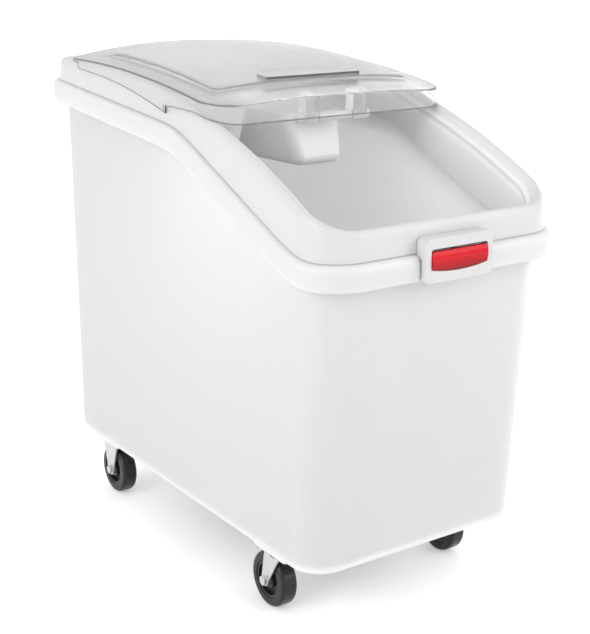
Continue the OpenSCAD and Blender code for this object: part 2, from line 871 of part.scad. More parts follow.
// Casters: the parts on an axle, drawn about the axle's middle
module turned() {
    rotate([0, 90, 0])
        rotate_extrude()
            children();
}

module tyre() {
    bore = core_radius + press_gap;
    thickness = wheel_radius - bore;
    color(black_rubber)
        turned() {
            translate([bore + thickness / 2, 0])
                rounded_rect(thickness, tyre_width, tyre_round);
            translate([bore, -tyre_width / 2])
                square([thickness / 2, tyre_width]);
        }
}

module wheel_core() {
    bore = bush_radius + press_gap;
    color(dark_plastic)
        turned() {
            translate([bore, -core_web / 2])
                square([core_radius - bore, core_web]);
            translate([bore, -core_width / 2])
                square([core_hub_radius - bore, core_width]);
            translate([core_radius - core_rim, -core_width / 2])
                square([core_rim, core_width]);
        }
}

module bush() {
    length = 2 * (fork_inner - seat_gap);
    bore = axle_radius + run_gap;
    color(zinc)
        turned()
            translate([bore, -length / 2])
                square([bush_radius - bore, length]);
}

module axle_bolt(side) {
    head_x = fork_outer + press_gap;
    tail_x = fork_outer + nut_height + bolt_tail;
    color(zinc)
        mirror([side < 0 ? 1 : 0, 0, 0])
            rotate([0, 90, 0]) {
                translate([0, 0, -tail_x])
                    cylinder(r = axle_radius, h = tail_x + head_x);
                translate([0, 0, head_x])
                    cylinder(r = bolt_head_radius, h = bolt_head, $fn = hex_sides);
            }
}

module nut(side) {
    color(zinc)
        mirror([side < 0 ? 1 : 0, 0, 0])
            rotate([0, 90, 0])
                translate([0, 0, -fork_outer - press_gap - nut_height])
                    difference() {
                        cylinder(r = nut_radius, h = nut_height, $fn = hex_sides);
                        translate([0, 0, -overrun])
                            cylinder(r = axle_radius + press_gap, h = nut_height + 2 * overrun);
                    }
}

// One pair of fork legs, from a top edge down to a round end at the axle
module fork_legs(axle_y, top_z, top_half, end_radius) {
    for (side = [-1, 1])
        translate([side * (fork_inner + plate_sheet / 2), 0, 0])
            across(plate_sheet) {
                translate([axle_y, wheel_radius])
                    circle(r = end_radius);
                polygon([
                    [-top_half, top_z], [-top_half, top_z - plate_sheet],
                    [axle_y - end_radius, wheel_radius], [axle_y + end_radius, wheel_radius],
                    [top_half + axle_y / 2, top_z - plate_sheet], [top_half + axle_y / 2, top_z]
                ]);
            }
}

module axle_bore(axle_y) {
    translate([0, axle_y, wheel_radius])
        rod(axle_radius + bolt_gap, 2 * (fork_outer + overrun));
}

module plate_blank() {
    translate([0, 0, plate_bottom_z])
        linear_extrude(plate_sheet - press_gap)
            rounded_rect(plate_width, plate_length, pad_corner);
}

module plate_holes() {
    translate([0, 0, plate_bottom_z - overrun])
        at_screws()
            cylinder(r = screw_radius + bolt_gap, h = plate_sheet + 2 * overrun);
}

module swivel_plate() {
    color(zinc)
    difference() {
        plate_blank();
        plate_holes();
        translate([0, 0, plate_bottom_z - overrun])
            cylinder(r = kingpin_radius + bolt_gap, h = plate_sheet + 2 * overrun);
    }
}

module ball_race() {
    height = plate_bottom_z - crown_top_z - 2 * seat_gap;
    color(zinc)
        translate([0, 0, crown_top_z + seat_gap + height / 2])
            rotate_extrude()
                translate([(race_inner + race_outer) / 2, 0])
                    rounded_rect(race_outer - race_inner, height, race_round);
}

module yoke() {
    rear_y = leg_top_half + caster_trail / 2;
    color(zinc)
    difference() {
        union() {
            translate([0, 0, crown_bottom_z])
                cylinder(r = crown_radius, h = plate_sheet);
            translate([-fork_outer, -leg_top_half, crown_bottom_z])
                cube([2 * fork_outer, leg_top_half + rear_y, plate_sheet]);
            fork_legs(caster_trail, crown_top_z, leg_top_half, leg_end_radius);
        }
        axle_bore(caster_trail);
        translate([0, 0, crown_bottom_z - overrun])
            cylinder(r = kingpin_radius + run_gap, h = plate_sheet + 2 * overrun);
    }
}

module kingpin() {
    head_z = crown_bottom_z - seat_gap - kingpin_head;
    color(zinc)
        translate([0, 0, head_z]) {
            cylinder(r = kingpin_radius, h = plate_top_z - press_gap - head_z);
            cylinder(r = kingpin_head_radius, h = kingpin_head);
        }
}

module screws() {
    color(zinc)
        translate([0, 0, plate_bottom_z - press_gap - screw_head])
            at_screws() {
                cylinder(r = screw_head_radius, h = screw_head);
                cylinder(r = screw_radius, h = screw_head + plate_sheet + screw_bite - seat_gap);
            }
}

module bracket() {
    color(zinc)
    difference() {
        union() {
            plate_blank();
            fork_legs(0, plate_bottom_z + plate_sheet / 2, rear_leg_top_half, rear_leg_end_radius);
        }
        plate_holes();
        axle_bore(0);
    }
}

module at_front(side) {
    translate([side * wheel_x, kingpin_y, 0])
        children();
}

module at_rear(side) {
    translate([side * wheel_x, rear_axle_y, 0])
        children();
}

module at_front_axle(side) {
    translate([side * wheel_x, front_axle_y, wheel_radius])
        children();
}

module at_rear_axle(side) {
    translate([side * wheel_x, rear_axle_y, wheel_radius])
        children();
}

tub();
lid_frame();
latch_bezel();
latch_lever();
latch_pin();
latch_spring();
sliding_lid();
scoop_clip(-1);  // scoop_clip_left
scoop_clip(1);  // scoop_clip_right
scoop();
at_front(-1) swivel_plate();  // front_left_plate
at_front(-1) ball_race();  // front_left_ball_race
at_front(-1) yoke();  // front_left_yoke
at_front(-1) kingpin();  // front_left_kingpin
at_front_axle(-1) tyre();  // front_left_tyre
at_front_axle(-1) wheel_core();  // front_left_wheel_core
at_front_axle(-1) bush();  // front_left_bush
at_front_axle(-1) axle_bolt(-1);  // front_left_axle_bolt
at_front_axle(-1) nut(-1);  // front_left_nut
at_front(-1) screws();  // front_left_screws
at_front(1) swivel_plate();  // front_right_plate
at_front(1) ball_race();  // front_right_ball_race
at_front(1) yoke();  // front_right_yoke
at_front(1) kingpin();  // front_right_kingpin
at_front_axle(1) tyre();  // front_right_tyre
at_front_axle(1) wheel_core();  // front_right_wheel_core
at_front_axle(1) bush();  // front_right_bush
at_front_axle(1) axle_bolt(1);  // front_right_axle_bolt
at_front_axle(1) nut(1);  // front_right_nut
at_front(1) screws();  // front_right_screws
at_rear(-1) bracket();  // rear_left_bracket
at_rear_axle(-1) tyre();  // rear_left_tyre
at_rear_axle(-1) wheel_core();  // rear_left_wheel_core
at_rear_axle(-1) bush();  // rear_left_bush
at_rear_axle(-1) axle_bolt(-1);  // rear_left_axle_bolt
at_rear_axle(-1) nut(-1);  // rear_left_nut
at_rear(-1) screws();  // rear_left_screws
at_rear(1) bracket();  // rear_right_bracket
at_rear_axle(1) tyre();  // rear_right_tyre
at_rear_axle(1) wheel_core();  // rear_right_wheel_core
at_rear_axle(1) bush();  // rear_right_bush
at_rear_axle(1) axle_bolt(1);  // rear_right_axle_bolt
at_rear_axle(1) nut(1);  // rear_right_nut
at_rear(1) screws();  // rear_right_screws
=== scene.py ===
import json
import math

import bmesh
import bpy
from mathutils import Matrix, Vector


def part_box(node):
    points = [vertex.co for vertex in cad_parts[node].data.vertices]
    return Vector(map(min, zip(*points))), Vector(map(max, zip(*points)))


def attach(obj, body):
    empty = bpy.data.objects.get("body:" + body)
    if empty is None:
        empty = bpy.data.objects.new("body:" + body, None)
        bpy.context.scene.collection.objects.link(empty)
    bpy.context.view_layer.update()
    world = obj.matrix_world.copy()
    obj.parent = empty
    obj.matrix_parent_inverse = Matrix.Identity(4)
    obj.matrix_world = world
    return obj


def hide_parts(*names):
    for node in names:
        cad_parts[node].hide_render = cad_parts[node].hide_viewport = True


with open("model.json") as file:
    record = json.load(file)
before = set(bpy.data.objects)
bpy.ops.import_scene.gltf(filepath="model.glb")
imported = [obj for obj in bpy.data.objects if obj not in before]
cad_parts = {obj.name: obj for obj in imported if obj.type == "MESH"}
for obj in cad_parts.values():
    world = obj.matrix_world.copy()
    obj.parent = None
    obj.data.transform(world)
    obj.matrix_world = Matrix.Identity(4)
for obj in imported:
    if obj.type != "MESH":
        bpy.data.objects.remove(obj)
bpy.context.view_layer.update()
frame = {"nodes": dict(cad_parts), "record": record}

# Sizes are in millimetres and angles in degrees, as in the part's source; a mesh is made in metres
MM = 0.001

# Bin
BIN_LENGTH = 759
BIN_WIDTH = 394
BIN_HEIGHT = 711
TUB_LIFT = 91
TUB_WALL = 4
TUB_FLOOR = 5
TUB_CORNER = 45
TUB_EDGE = 9
SIDE_DRAFT = 0.2
FRONT_DRAFT = 4.3

# Rim
RIM_OVERHANG = 21
RIM_DEPTH = 32
RIM_FRONT_DROP = 211
RIM_BEND_DROP = 89
RIM_REAR_DROP = 54
SLOPE_START = 60
SLOPE_END = 340
LATCH_STANDS_OUT = 10
BEND_BLEND = 34
FOOT_BLEND = 40
RIM_INNER_DROP = 2
RIM_SECTION_SHARES = [
    (0, 0.2), (0.66, 0.21), (0.8, 0.34), (0.8, 0.96), (0.87, 1), (0.96, 0.88),
    (1, 0.62), (0.99, 0.36), (0.92, 0.17), (0.76, 0.05), (0.5, 0),
]
BEZEL_WIDTH = 104
NOTCH_GAP = 1.5
NOTCH_STEP = 1
CATCH_OVERHANG = 6
CATCH_DEPTH = 15

# Lid frame
FRAME_INSET = 10
FRAME_RAIL = 27
RAIL_DROP = 20
FRAME_SHEET = 3
FRAME_SKIRT = 14
FRAME_SEAT = 0.6
FRAME_RISE = 36.5
RAIL_SHARES = [
    (0.05, 0.75), (0.09, 0.35), (0.18, 0.08), (0.3, 0), (0.46, 0.07), (0.62, 0.3), (0.66, 0.42),
    (0.84, 0.62), (0.96, 1), (1, 1.3),
]
CREST_SHARE = 0.3
INNER_DROPS = 2
# Painted light on the rails: where a fine line with less of it lies, its share there, and its share at the
# inner wall's foot
INNER_LINE_SHARES = (0.86, 0.94)
INNER_LINE_PAINTED_LIGHT = 0.3
RAIL_FOOT_PAINTED_LIGHT = 0.75
CREST_SETBACK = 179.5
DECK_DEPTH = 12
DECK_SETBACK = 168
DECK_INSET_SHARE = 0.74

# Sliding lid
LID_SHEET = 2.5
LID_SIDE_GAP = 1.5
LID_FRONT_SETBACK = 236.5
LID_REAR_SETBACK = 92.5
LID_TOP_SETBACK = 147.5
LIP_HEIGHT = 22
LID_CROWN = 18
LID_FRONT_CROWN = 8
PANEL_RISE = 4.5
PANEL_BORDER = 30
PANEL_FRONT_BORDER = 52
PANEL_REAR_BORDER = 70
PANEL_STEP = 5
MIDDLE_SHARES = [0.8, 0.6, 0.4, 0.2, 0.03]
LID_CORNER = 46
LID_REAR_CORNER = 24
LID_MIN_CORNER = 8
LID_EDGE_RISE = 4.5
LID_REST_GAP = 0.5
LID_EDGE = 3
SKIRT_DROP = 26
SKIRT_REAR_DROP = 9
SKIRT_FRONT_SETBACK = 125
SKIRT_REAR_SETBACK = 37
SKIRT_END = 1
SKIRT_NOTCH_RADIUS = 4.5
SKIRT_NOTCH_RISE = 7.5
SKIRT_LEAD_DROP = 17
SKIRT_LEAD_STEPS = 6
RIDGE_WIDTH = 150
RIDGE_DEPTH = 46
RIDGE_CORNER = 30
RIDGE_RISE = 4.5
RIDGE_BACK = 1
RIDGE_BROW = 3
RIDGE_ROOT = 2
RIDGE_TAIL = 0.4
# Painted shade on the lid: widths of its dark painted lines, and shares of grey on its step, panel, border
# and round edge
PAINTED_EDGE_LINE = 0.6
EDGE_FADE = 1
RIDGE_PAINTED_LINE = 3
PANEL_LINE_PAINTED_SHADE = 0.45
PANEL_PAINTED_SHADE = 0.25
BORDER_PAINTED_SHADE = 0.32
ROUND_PAINTED_SHADE = 1
ROUND_STEPS = 3

# Scoop
SCOOP_WIDTH = 124
SCOOP_LENGTH = 150
SCOOP_DEPTH = 69
SCOOP_LEAN = 21
SCOOP_WALL = 2.5
SCOOP_TAPER = 12
SCOOP_NOSE_SHARE = 0.75
SCOOP_CORNER = 17
SCOOP_ROUND = 14
SCOOP_GRIP_AHEAD = 46
SCOOP_GRIP_BEHIND = 15
SCOOP_MOUTH_ANGLE = 33
GRIP_RADIUS = 6
GRIP_LENGTH = 118
GRIP_BELOW_LIP = 1
NECK_WIDTH = 46
NECK_THICKNESS = 5

# Casters
WHEEL_INSET = 52
FRONT_WHEEL_SETBACK = 176.5
REAR_WHEEL_SETBACK = 121.5
CASTER_TRAIL = 20
PLATE_WIDTH = 42
PLATE_LENGTH = 70
PAD_HEIGHT = 4
PAD_MARGIN = 2
PAD_CORNER = 5

# How finely the smooth meshes are drawn
CORNER_STEPS = 20
SIDE_STEPS = 64
EDGE_STEPS = 6
LINE_STEPS = 5
SHARP_EDGE = 40
SMOOTH_ANGLE = math.radians(SHARP_EDGE)

# Name of the value for how much of its second tone, painted light and shade, a material shows at a point
PAINTED_TONE = "painted_tone"


def arc_radius(distance, drop):
    """Radius of an arc that is level at its top and falls by a drop over a distance."""
    return (distance * distance + drop * drop) / (2 * drop)


# Values that follow from the sizes above
RIM_HALF = BIN_WIDTH / 2
RIM_FRONT_Y = -BIN_LENGTH / 2 + LATCH_STANDS_OUT
RIM_REAR_Y = BIN_LENGTH / 2
RIM_CORNER = TUB_CORNER + RIM_OVERHANG
RIM_FRONT_Z = BIN_HEIGHT - RIM_FRONT_DROP
RIM_BEND_Z = BIN_HEIGHT - RIM_BEND_DROP
RIM_REAR_Z = BIN_HEIGHT - RIM_REAR_DROP
SLOPE_START_Y = RIM_FRONT_Y + SLOPE_START
SLOPE_END_Y = RIM_FRONT_Y + SLOPE_END
SLOPE_RISE = (RIM_BEND_Z - RIM_FRONT_Z) / (SLOPE_END - SLOPE_START)
REAR_RISE = (RIM_REAR_Z - RIM_BEND_Z) / (RIM_REAR_Y - SLOPE_END_Y)
TUB_HALF_TOP = RIM_HALF - RIM_OVERHANG
TUB_DRAW_SIDE = (RIM_BEND_Z - TUB_LIFT) * math.tan(math.radians(SIDE_DRAFT))
TUB_DRAW_FRONT = (RIM_FRONT_Z - TUB_LIFT) * math.tan(math.radians(FRONT_DRAFT))
NOTCH_HALF = BEZEL_WIDTH / 2 + NOTCH_GAP
FRAME_HALF = RIM_HALF - FRAME_INSET
CREST_TOP_Y = RIM_REAR_Y - CREST_SETBACK
CREST_TOP_Z = BIN_HEIGHT - PANEL_RISE - LID_CROWN - LID_EDGE_RISE
CREST_FRONT_Y = RIM_FRONT_Y + FRAME_INSET + CREST_SHARE * FRAME_RAIL
CREST_RADIUS = arc_radius(CREST_TOP_Y - CREST_FRONT_Y, CREST_TOP_Z - RIM_FRONT_Z - FRAME_RISE)
SLIDE_AXIS_Z = CREST_TOP_Z - CREST_RADIUS
LID_HALF = FRAME_HALF + LID_SIDE_GAP + LID_SHEET
LID_EDGE_Z = CREST_TOP_Z + LID_EDGE_RISE
LID_FRONT_Y = RIM_FRONT_Y + LID_FRONT_SETBACK
LID_REAR_Y = RIM_REAR_Y - LID_REAR_SETBACK
LID_TOP_Y = RIM_REAR_Y - LID_TOP_SETBACK
SKIRT_FRONT_Y = LID_FRONT_Y + SKIRT_FRONT_SETBACK
SKIRT_REAR_Y = LID_REAR_Y - SKIRT_REAR_SETBACK
DECK_FRONT_Y = LID_FRONT_Y + DECK_SETBACK
WHEEL_X = RIM_HALF - WHEEL_INSET
KINGPIN_Y = RIM_FRONT_Y + FRONT_WHEEL_SETBACK - CASTER_TRAIL
REAR_AXLE_Y = RIM_REAR_Y - REAR_WHEEL_SETBACK


def bend(u, m, b):
    """Height of a line that turns smoothly from level to a slope m at u = 0, over b on each side."""
    if u < -b:
        return 0
    if u > b:
        return m * u
    return m * (u + b) * (u + b) / (4 * b)


def rim_top(y):
    """Height of the rim's top at a place along the bin."""
    foot = bend(y - SLOPE_START_Y, SLOPE_RISE, FOOT_BLEND)
    top = bend(y - SLOPE_END_Y, REAR_RISE - SLOPE_RISE, BEND_BLEND)
    return RIM_FRONT_Z + foot + top


def slide_arc(radius, y):
    """Height of an arc about the slide axis, level behind its top."""
    if y > CREST_TOP_Y:
        return SLIDE_AXIS_Z + radius
    return SLIDE_AXIS_Z + math.sqrt(radius * radius - (y - CREST_TOP_Y) ** 2)


LIP_Z = slide_arc(CREST_RADIUS + LID_REST_GAP, LID_FRONT_Y)
LID_RADIUS = arc_radius(LID_TOP_Y - LID_FRONT_Y, LID_EDGE_Z - LIP_Z - LIP_HEIGHT)


def lid_top(x, y):
    """Height of the lid's top surface, without its panel."""
    back_share = min(1, (y - LID_FRONT_Y) / (LID_TOP_Y - LID_FRONT_Y))
    crown = LID_FRONT_CROWN + back_share * (LID_CROWN - LID_FRONT_CROWN)
    arch = math.sqrt(LID_RADIUS ** 2 - (y - LID_TOP_Y) ** 2)
    return LID_EDGE_Z - LID_RADIUS + arch + crown * (1 - (x / LID_HALF) ** 2)


def even_values(low, high, steps):
    """Evenly spaced values from low to high."""
    return [low + (high - low) * i / steps for i in range(steps + 1)]


CORNER_ANGLES = even_values(0, math.pi / 2, CORNER_STEPS)[1:-1]
EDGE_ANGLES = even_values(0, math.pi / 2, EDGE_STEPS)


def outline(half, front, rear, corner, sides, fronts, rear_corner=None):
    """Points of a rounded rectangle, anticlockwise from above, starting on the right side."""
    back = corner if rear_corner is None else rear_corner
    y0 = front + corner
    y1 = rear - back
    x0 = half - corner
    x1 = half - back
    points = [(half, y0 + s * (y1 - y0)) for s in sides]
    points += [(x1 + back * math.cos(a), y1 + back * math.sin(a)) for a in CORNER_ANGLES]
    points += [(-s * x1, rear) for s in fronts]
    points += [(-x1 - back * math.sin(a), y1 + back * math.cos(a)) for a in CORNER_ANGLES]
    points += [(-half, y0 + s * (y1 - y0)) for s in reversed(sides)]
    points += [(-x0 - corner * math.cos(a), y0 - corner * math.sin(a)) for a in CORNER_ANGLES]
    points += [(s * x0, front) for s in fronts]
    points += [(x0 + corner * math.sin(a), y0 - corner * math.cos(a)) for a in CORNER_ANGLES]
    return points


SIDE_SHARES = even_values(0, 1, SIDE_STEPS)
NOTCH_SHARE = NOTCH_HALF / (RIM_HALF - RIM_CORNER)
NOTCH_STEP_SHARE = NOTCH_STEP / (RIM_HALF - RIM_CORNER)
NOTCH_SHARES = [NOTCH_SHARE, NOTCH_SHARE + NOTCH_STEP_SHARE]
FRONT_SHARES = [-1, -NOTCH_SHARES[1], -NOTCH_SHARES[0], 0, NOTCH_SHARES[0], NOTCH_SHARES[1], 1]


def rim_outline(inset):
    """The rim's outline drawn in by a distance."""
    return outline(
        RIM_HALF - inset, RIM_FRONT_Y + inset, RIM_REAR_Y - inset, RIM_CORNER - inset,
        SIDE_SHARES, FRONT_SHARES,
    )


def base_outline(inset):
    """The tub's underside outline drawn in by a distance."""
    return outline(
        TUB_HALF_TOP - TUB_DRAW_SIDE - inset,
        RIM_FRONT_Y + RIM_OVERHANG + TUB_DRAW_FRONT + inset,
        RIM_REAR_Y - RIM_OVERHANG - TUB_DRAW_SIDE - inset,
        TUB_CORNER - inset, SIDE_SHARES, FRONT_SHARES,
    )


def level(points, z):
    """Points of an outline lifted to one height."""
    return [(x, y, z) for x, y in points]


def smooth_line(points, steps):
    """A line through the points that turns smoothly at each of them."""
    line = []
    last = len(points) - 1
    for i in range(last):
        before = Vector(points[max(i - 1, 0)])
        start = Vector(points[i])
        end = Vector(points[i + 1])
        after = Vector(points[min(i + 2, last)])
        reach = (end - start).length / 3
        leave = start + (end - before).normalized() * reach
        arrive = end - (after - start).normalized() * reach
        for k in range(steps):
            t = k / steps
            u = 1 - t
            p = start * u ** 3 + leave * 3 * u * u * t + arrive * 3 * u * t * t + end * t ** 3
            line.append(tuple(p))
    line.append(tuple(points[last]))
    return line


def skin(rings, capped=True):
    """Points and faces of a skin over rings of equally many points."""
    count = len(rings[0])
    last = len(rings) - 1
    points = [p for ring in rings for p in ring]
    faces = []
    for i in range(last if capped else last + 1):
        here = i * count
        there = 0 if i == last else here + count
        for j in range(count):
            k = (j + 1) % count
            faces.append((here + j, here + k, there + k, there + j))
    if capped:
        for ring, first in ((rings[0], 0), (rings[last], last * count)):
            middle = tuple(sum(p[axis] for p in ring) / count for axis in range(3))
            points.append(middle)
            faces += [(len(points) - 1, first + j, first + (j + 1) % count) for j in range(count)]
    return points, faces


def joined(parts):
    """Several sets of points and faces as one."""
    points = []
    faces = []
    for part_points, part_faces in parts:
        start = len(points)
        points += part_points
        faces += [tuple(start + i for i in face) for face in part_faces]
    return points, faces


def make_object(name, shape, painted_tones=None):
    """A smooth-shaded object from points in millimetres and faces, with any painted light and shade at each
    point.
    """
    points, faces = shape
    mesh = bpy.data.meshes.new(name)
    mesh.from_pydata([Vector(p) * MM for p in points], [], faces)
    tidy = bmesh.new()
    tidy.from_mesh(mesh)
    bmesh.ops.recalc_face_normals(tidy, faces=tidy.faces)
    tidy.to_mesh(mesh)
    tidy.free()
    mesh.shade_smooth()
    mesh.set_sharp_from_angle(angle=SMOOTH_ANGLE)
    if painted_tones:
        mesh.attributes.new(PAINTED_TONE, "FLOAT", "POINT").data.foreach_set("value", painted_tones)
    obj = bpy.data.objects.new(name, mesh)
    bpy.context.scene.collection.objects.link(obj)
    return obj


# Tub
STATIONS = rim_outline(0)
RIM_INNER = rim_outline(RIM_OVERHANG)
RIM_Z = [rim_top(y) for x, y in STATIONS]
IN_NOTCH = [y < SLOPE_START_Y and abs(x) < NOTCH_HALF + NOTCH_STEP / 2 for x, y in STATIONS]


def rim_ring(out_share, down_share):
    """One ring of the rim, at a share of the overhang outward and of the rim's height downward."""
    ring = []
    for i, (x, y) in enumerate(STATIONS):
        out = out_share * (CATCH_OVERHANG if IN_NOTCH[i] else RIM_OVERHANG) / RIM_OVERHANG
        down = down_share * (CATCH_DEPTH if IN_NOTCH[i] else RIM_DEPTH)
        inner_x, inner_y = RIM_INNER[i]
        ring.append((inner_x + out * (x - inner_x), inner_y + out * (y - inner_y), RIM_Z[i] - down))
    return ring


def inner_ring(inset, below):
    """One ring of the tub's inner wall, at a depth below the rim."""
    return [(x, y, RIM_Z[i] - below) for i, (x, y) in enumerate(rim_outline(RIM_OVERHANG + inset))]


def edge_rings(inset, bottom_z):
    """Rings that round the edge of the tub's floor, from its flat up to its wall."""
    rings = []
    for a in EDGE_ANGLES:
        z = bottom_z + TUB_EDGE * (1 - math.cos(a))
        rings.append(level(base_outline(inset + TUB_EDGE * (1 - math.sin(a))), z))
    return rings


def tub_shape():
    """The tub's points and faces, and a tone of one at each point of its thick rim, where shade is painted.
    """
    outside = edge_rings(0, TUB_LIFT)
    rim = [rim_ring(out, down) for out, down in smooth_line(RIM_SECTION_SHARES, LINE_STEPS)]
    outside.append(rim.pop(0))
    inside = [inner_ring(TUB_WALL / 2, 0), inner_ring(TUB_WALL, RIM_INNER_DROP)]
    inside += reversed(edge_rings(TUB_WALL, TUB_LIFT + TUB_FLOOR))
    count = len(STATIONS)
    points, faces = skin(outside + rim + inside)
    tones = [0] * count * len(outside) + [1] * count * len(rim)
    tones += [0] * (len(points) - len(tones))
    return points, faces, tones


def pad_shape(x, y):
    """The flat boss under the tub that a caster's plate is screwed to."""
    half = PLATE_WIDTH / 2 + PAD_MARGIN
    reach = PLATE_LENGTH / 2 + PAD_MARGIN
    edge = outline(half, -reach, reach, PAD_CORNER, [0, 1], [-1, 1])
    placed = [(x + px, y + py) for px, py in edge]
    return skin([level(placed, TUB_LIFT - PAD_HEIGHT), level(placed, TUB_LIFT + TUB_FLOOR / 2)])


# Lid frame
CREST_LINE = rim_outline(FRAME_INSET + CREST_SHARE * FRAME_RAIL)
CREST_Z = [slide_arc(CREST_RADIUS, y) for x, y in CREST_LINE]


def rail_foot(i):
    """Height of the foot of the rail's inner wall at one station."""
    return min(RIM_Z[i] - FRAME_SKIRT, CREST_Z[i] - INNER_DROPS * RAIL_DROP)


def rail_painted_light(i, share, z):
    """Painted light on the rail: more from its crest inward, less in a fine line above its inner wall, and
    fading down that wall.
    """
    if share < INNER_LINE_SHARES[0]:
        return min(max((share - CREST_SHARE) / (INNER_LINE_SHARES[0] - CREST_SHARE), 0), 1)
    if share < INNER_LINE_SHARES[1]:
        return INNER_LINE_PAINTED_LIGHT
    foot = rail_foot(i)
    upward = min(max((z - foot) / (CREST_Z[i] - foot), 0), 1)
    return RAIL_FOOT_PAINTED_LIGHT + upward * (1 - RAIL_FOOT_PAINTED_LIGHT)


def rail_line(i):
    """Outer line of the rail's section at one station, as distance inward and height."""
    line = [(0, RIM_Z[i] + FRAME_SEAT)]
    line += [(s * FRAME_RAIL, CREST_Z[i] - drop * RAIL_DROP) for s, drop in RAIL_SHARES]
    line.append((FRAME_RAIL, rail_foot(i)))
    return smooth_line(line, LINE_STEPS)


def moved_right(line, distance):
    """A line moved to its right by a distance."""
    last = len(line) - 1
    moved = []
    for i, (u, z) in enumerate(line):
        u0, z0 = line[max(i - 1, 0)]
        u1, z1 = line[min(i + 1, last)]
        length = math.hypot(u1 - u0, z1 - z0)
        moved.append((u + distance * (z1 - z0) / length, z - distance * (u1 - u0) / length))
    return moved


def frame_shape():
    """The frame's points and faces, and the painted light at each point of the rails."""
    outer = rim_outline(FRAME_INSET)
    inner = rim_outline(FRAME_INSET + FRAME_RAIL)
    loops = []
    for i in range(len(STATIONS)):
        line = rail_line(i)
        loops.append(line + list(reversed(moved_right(line, FRAME_SHEET))))
    rings = []
    tones = []
    for k in range(len(loops[0])):
        ring = []
        for i, (x, y) in enumerate(outer):
            inward, z = loops[i][k]
            share = inward / FRAME_RAIL
            ring.append((x + share * (inner[i][0] - x), y + share * (inner[i][1] - y), z))
            tones.append(rail_painted_light(i, share, z))
        rings.append(ring)
    points, faces = skin(rings, capped=False)
    return points, faces, tones


def deck_shape():
    """The arched sheet behind the mouth, under the open lid."""
    radius = CREST_RADIUS - DECK_DEPTH - FRAME_SHEET
    half = FRAME_HALF - FRAME_RAIL * DECK_INSET_SHARE
    rear_y = RIM_REAR_Y - FRAME_INSET - FRAME_RAIL + FRAME_SHEET / 2
    rear = math.acos((rear_y - CREST_TOP_Y) / radius)
    front = math.acos((DECK_FRONT_Y - CREST_TOP_Y) / radius)
    corners = [(0, -half), (FRAME_SHEET, -half), (FRAME_SHEET, half), (0, half)]
    rings = []
    for a in even_values(rear, front, SIDE_STEPS):
        ring = []
        for out, x in corners:
            reach = radius + out
            ring.append((x, CREST_TOP_Y + reach * math.cos(a), SLIDE_AXIS_Z + reach * math.sin(a)))
        rings.append(ring)
    return skin(rings)


# Sliding lid
LID_SIDE_Y0 = LID_FRONT_Y + LID_CORNER
LID_SIDE_Y1 = LID_REAR_Y - LID_REAR_CORNER


def lid_share(y):
    """Share of the lid's straight side at a place along the bin."""
    return (y - LID_SIDE_Y0) / (LID_SIDE_Y1 - LID_SIDE_Y0)


LEAD_PLACES = even_values(LID_SIDE_Y0, SKIRT_FRONT_Y - SKIRT_END, SKIRT_LEAD_STEPS)
SKIRT_PLACES = even_values(SKIRT_FRONT_Y, SKIRT_REAR_Y, SIDE_STEPS // 2)
LID_SIDE_SHARES = [lid_share(y) for y in LEAD_PLACES + SKIRT_PLACES]
LID_SIDE_SHARES += [lid_share(SKIRT_REAR_Y + SKIRT_END), 1]
LID_FRONT_SHARES = even_values(-1, 1, SIDE_STEPS // 4)
PANEL_FRONT_Y = LID_FRONT_Y + PANEL_FRONT_BORDER
PANEL_REAR_Y = LID_REAR_Y - PANEL_REAR_BORDER


def drawn_in(inset, border):
    """An inset from the lid's edge, stretched so that the panel's border there has a width of its own."""
    edge = LID_EDGE + LID_SHEET
    share = min(max((inset - edge) / (PANEL_BORDER - edge), 0), 1)
    return inset + share * (border - PANEL_BORDER)


def lid_outline(inset):
    """The lid's outline drawn in by a distance at its sides."""
    return outline(
        LID_HALF - inset, LID_FRONT_Y + drawn_in(inset, PANEL_FRONT_BORDER),
        LID_REAR_Y - drawn_in(inset, PANEL_REAR_BORDER), max(LID_CORNER - inset, LID_MIN_CORNER),
        LID_SIDE_SHARES, LID_FRONT_SHARES, max(LID_REAR_CORNER - inset, LID_MIN_CORNER),
    )


def lid_bottom(x, y):
    """Height of the lid's lower edge: on the rails, at the foot of a skirt, or leading down to it."""
    on_side = abs(x) > LID_HALF - 2 * LID_SHEET
    skirt_start = SKIRT_FRONT_Y - SKIRT_END / 2
    if on_side and skirt_start < y < SKIRT_REAR_Y + SKIRT_END / 2:
        share = (SKIRT_REAR_Y - y) / (SKIRT_REAR_Y - SKIRT_FRONT_Y)
        return slide_arc(CREST_RADIUS - SKIRT_REAR_DROP - share * (SKIRT_DROP - SKIRT_REAR_DROP), y)
    lead = 0
    if on_side and LID_SIDE_Y0 < y < skirt_start:
        lead = SKIRT_LEAD_DROP * (y - LID_SIDE_Y0) / (SKIRT_FRONT_Y - LID_SIDE_Y0)
    return slide_arc(CREST_RADIUS + LID_REST_GAP - lead, y)


def panel_lift(inset):
    """Rise of the panel at an inset from the lid's edge, with a soft step."""
    t = min(max((inset - PANEL_BORDER) / PANEL_STEP, 0), 1)
    return PANEL_RISE * t * t * (3 - 2 * t)


def lid_ring(inset, below):
    """A ring of the lid at an inset from its edge, lying a distance below its top surface."""
    lift = panel_lift(inset)
    return [(x, y, lid_top(x, y) - below + lift) for x, y in lid_outline(inset)]


def lid_middle_ring(inset, share, below):
    """A ring of the lid's panel at an inset, shrunk to a share of its size about the panel's middle."""
    middle_y = (PANEL_FRONT_Y + PANEL_REAR_Y) / 2
    ring = [(share * x, middle_y + share * (y - middle_y)) for x, y in lid_outline(inset)]
    return [(x, y, lid_top(x, y) - below + PANEL_RISE) for x, y in ring]


def lid_edge_ring(inset, above=0):
    """A ring along the lid's lower edge, or a distance above it."""
    return [(x, y, lid_bottom(x, y) + above) for x, y in lid_outline(inset)]


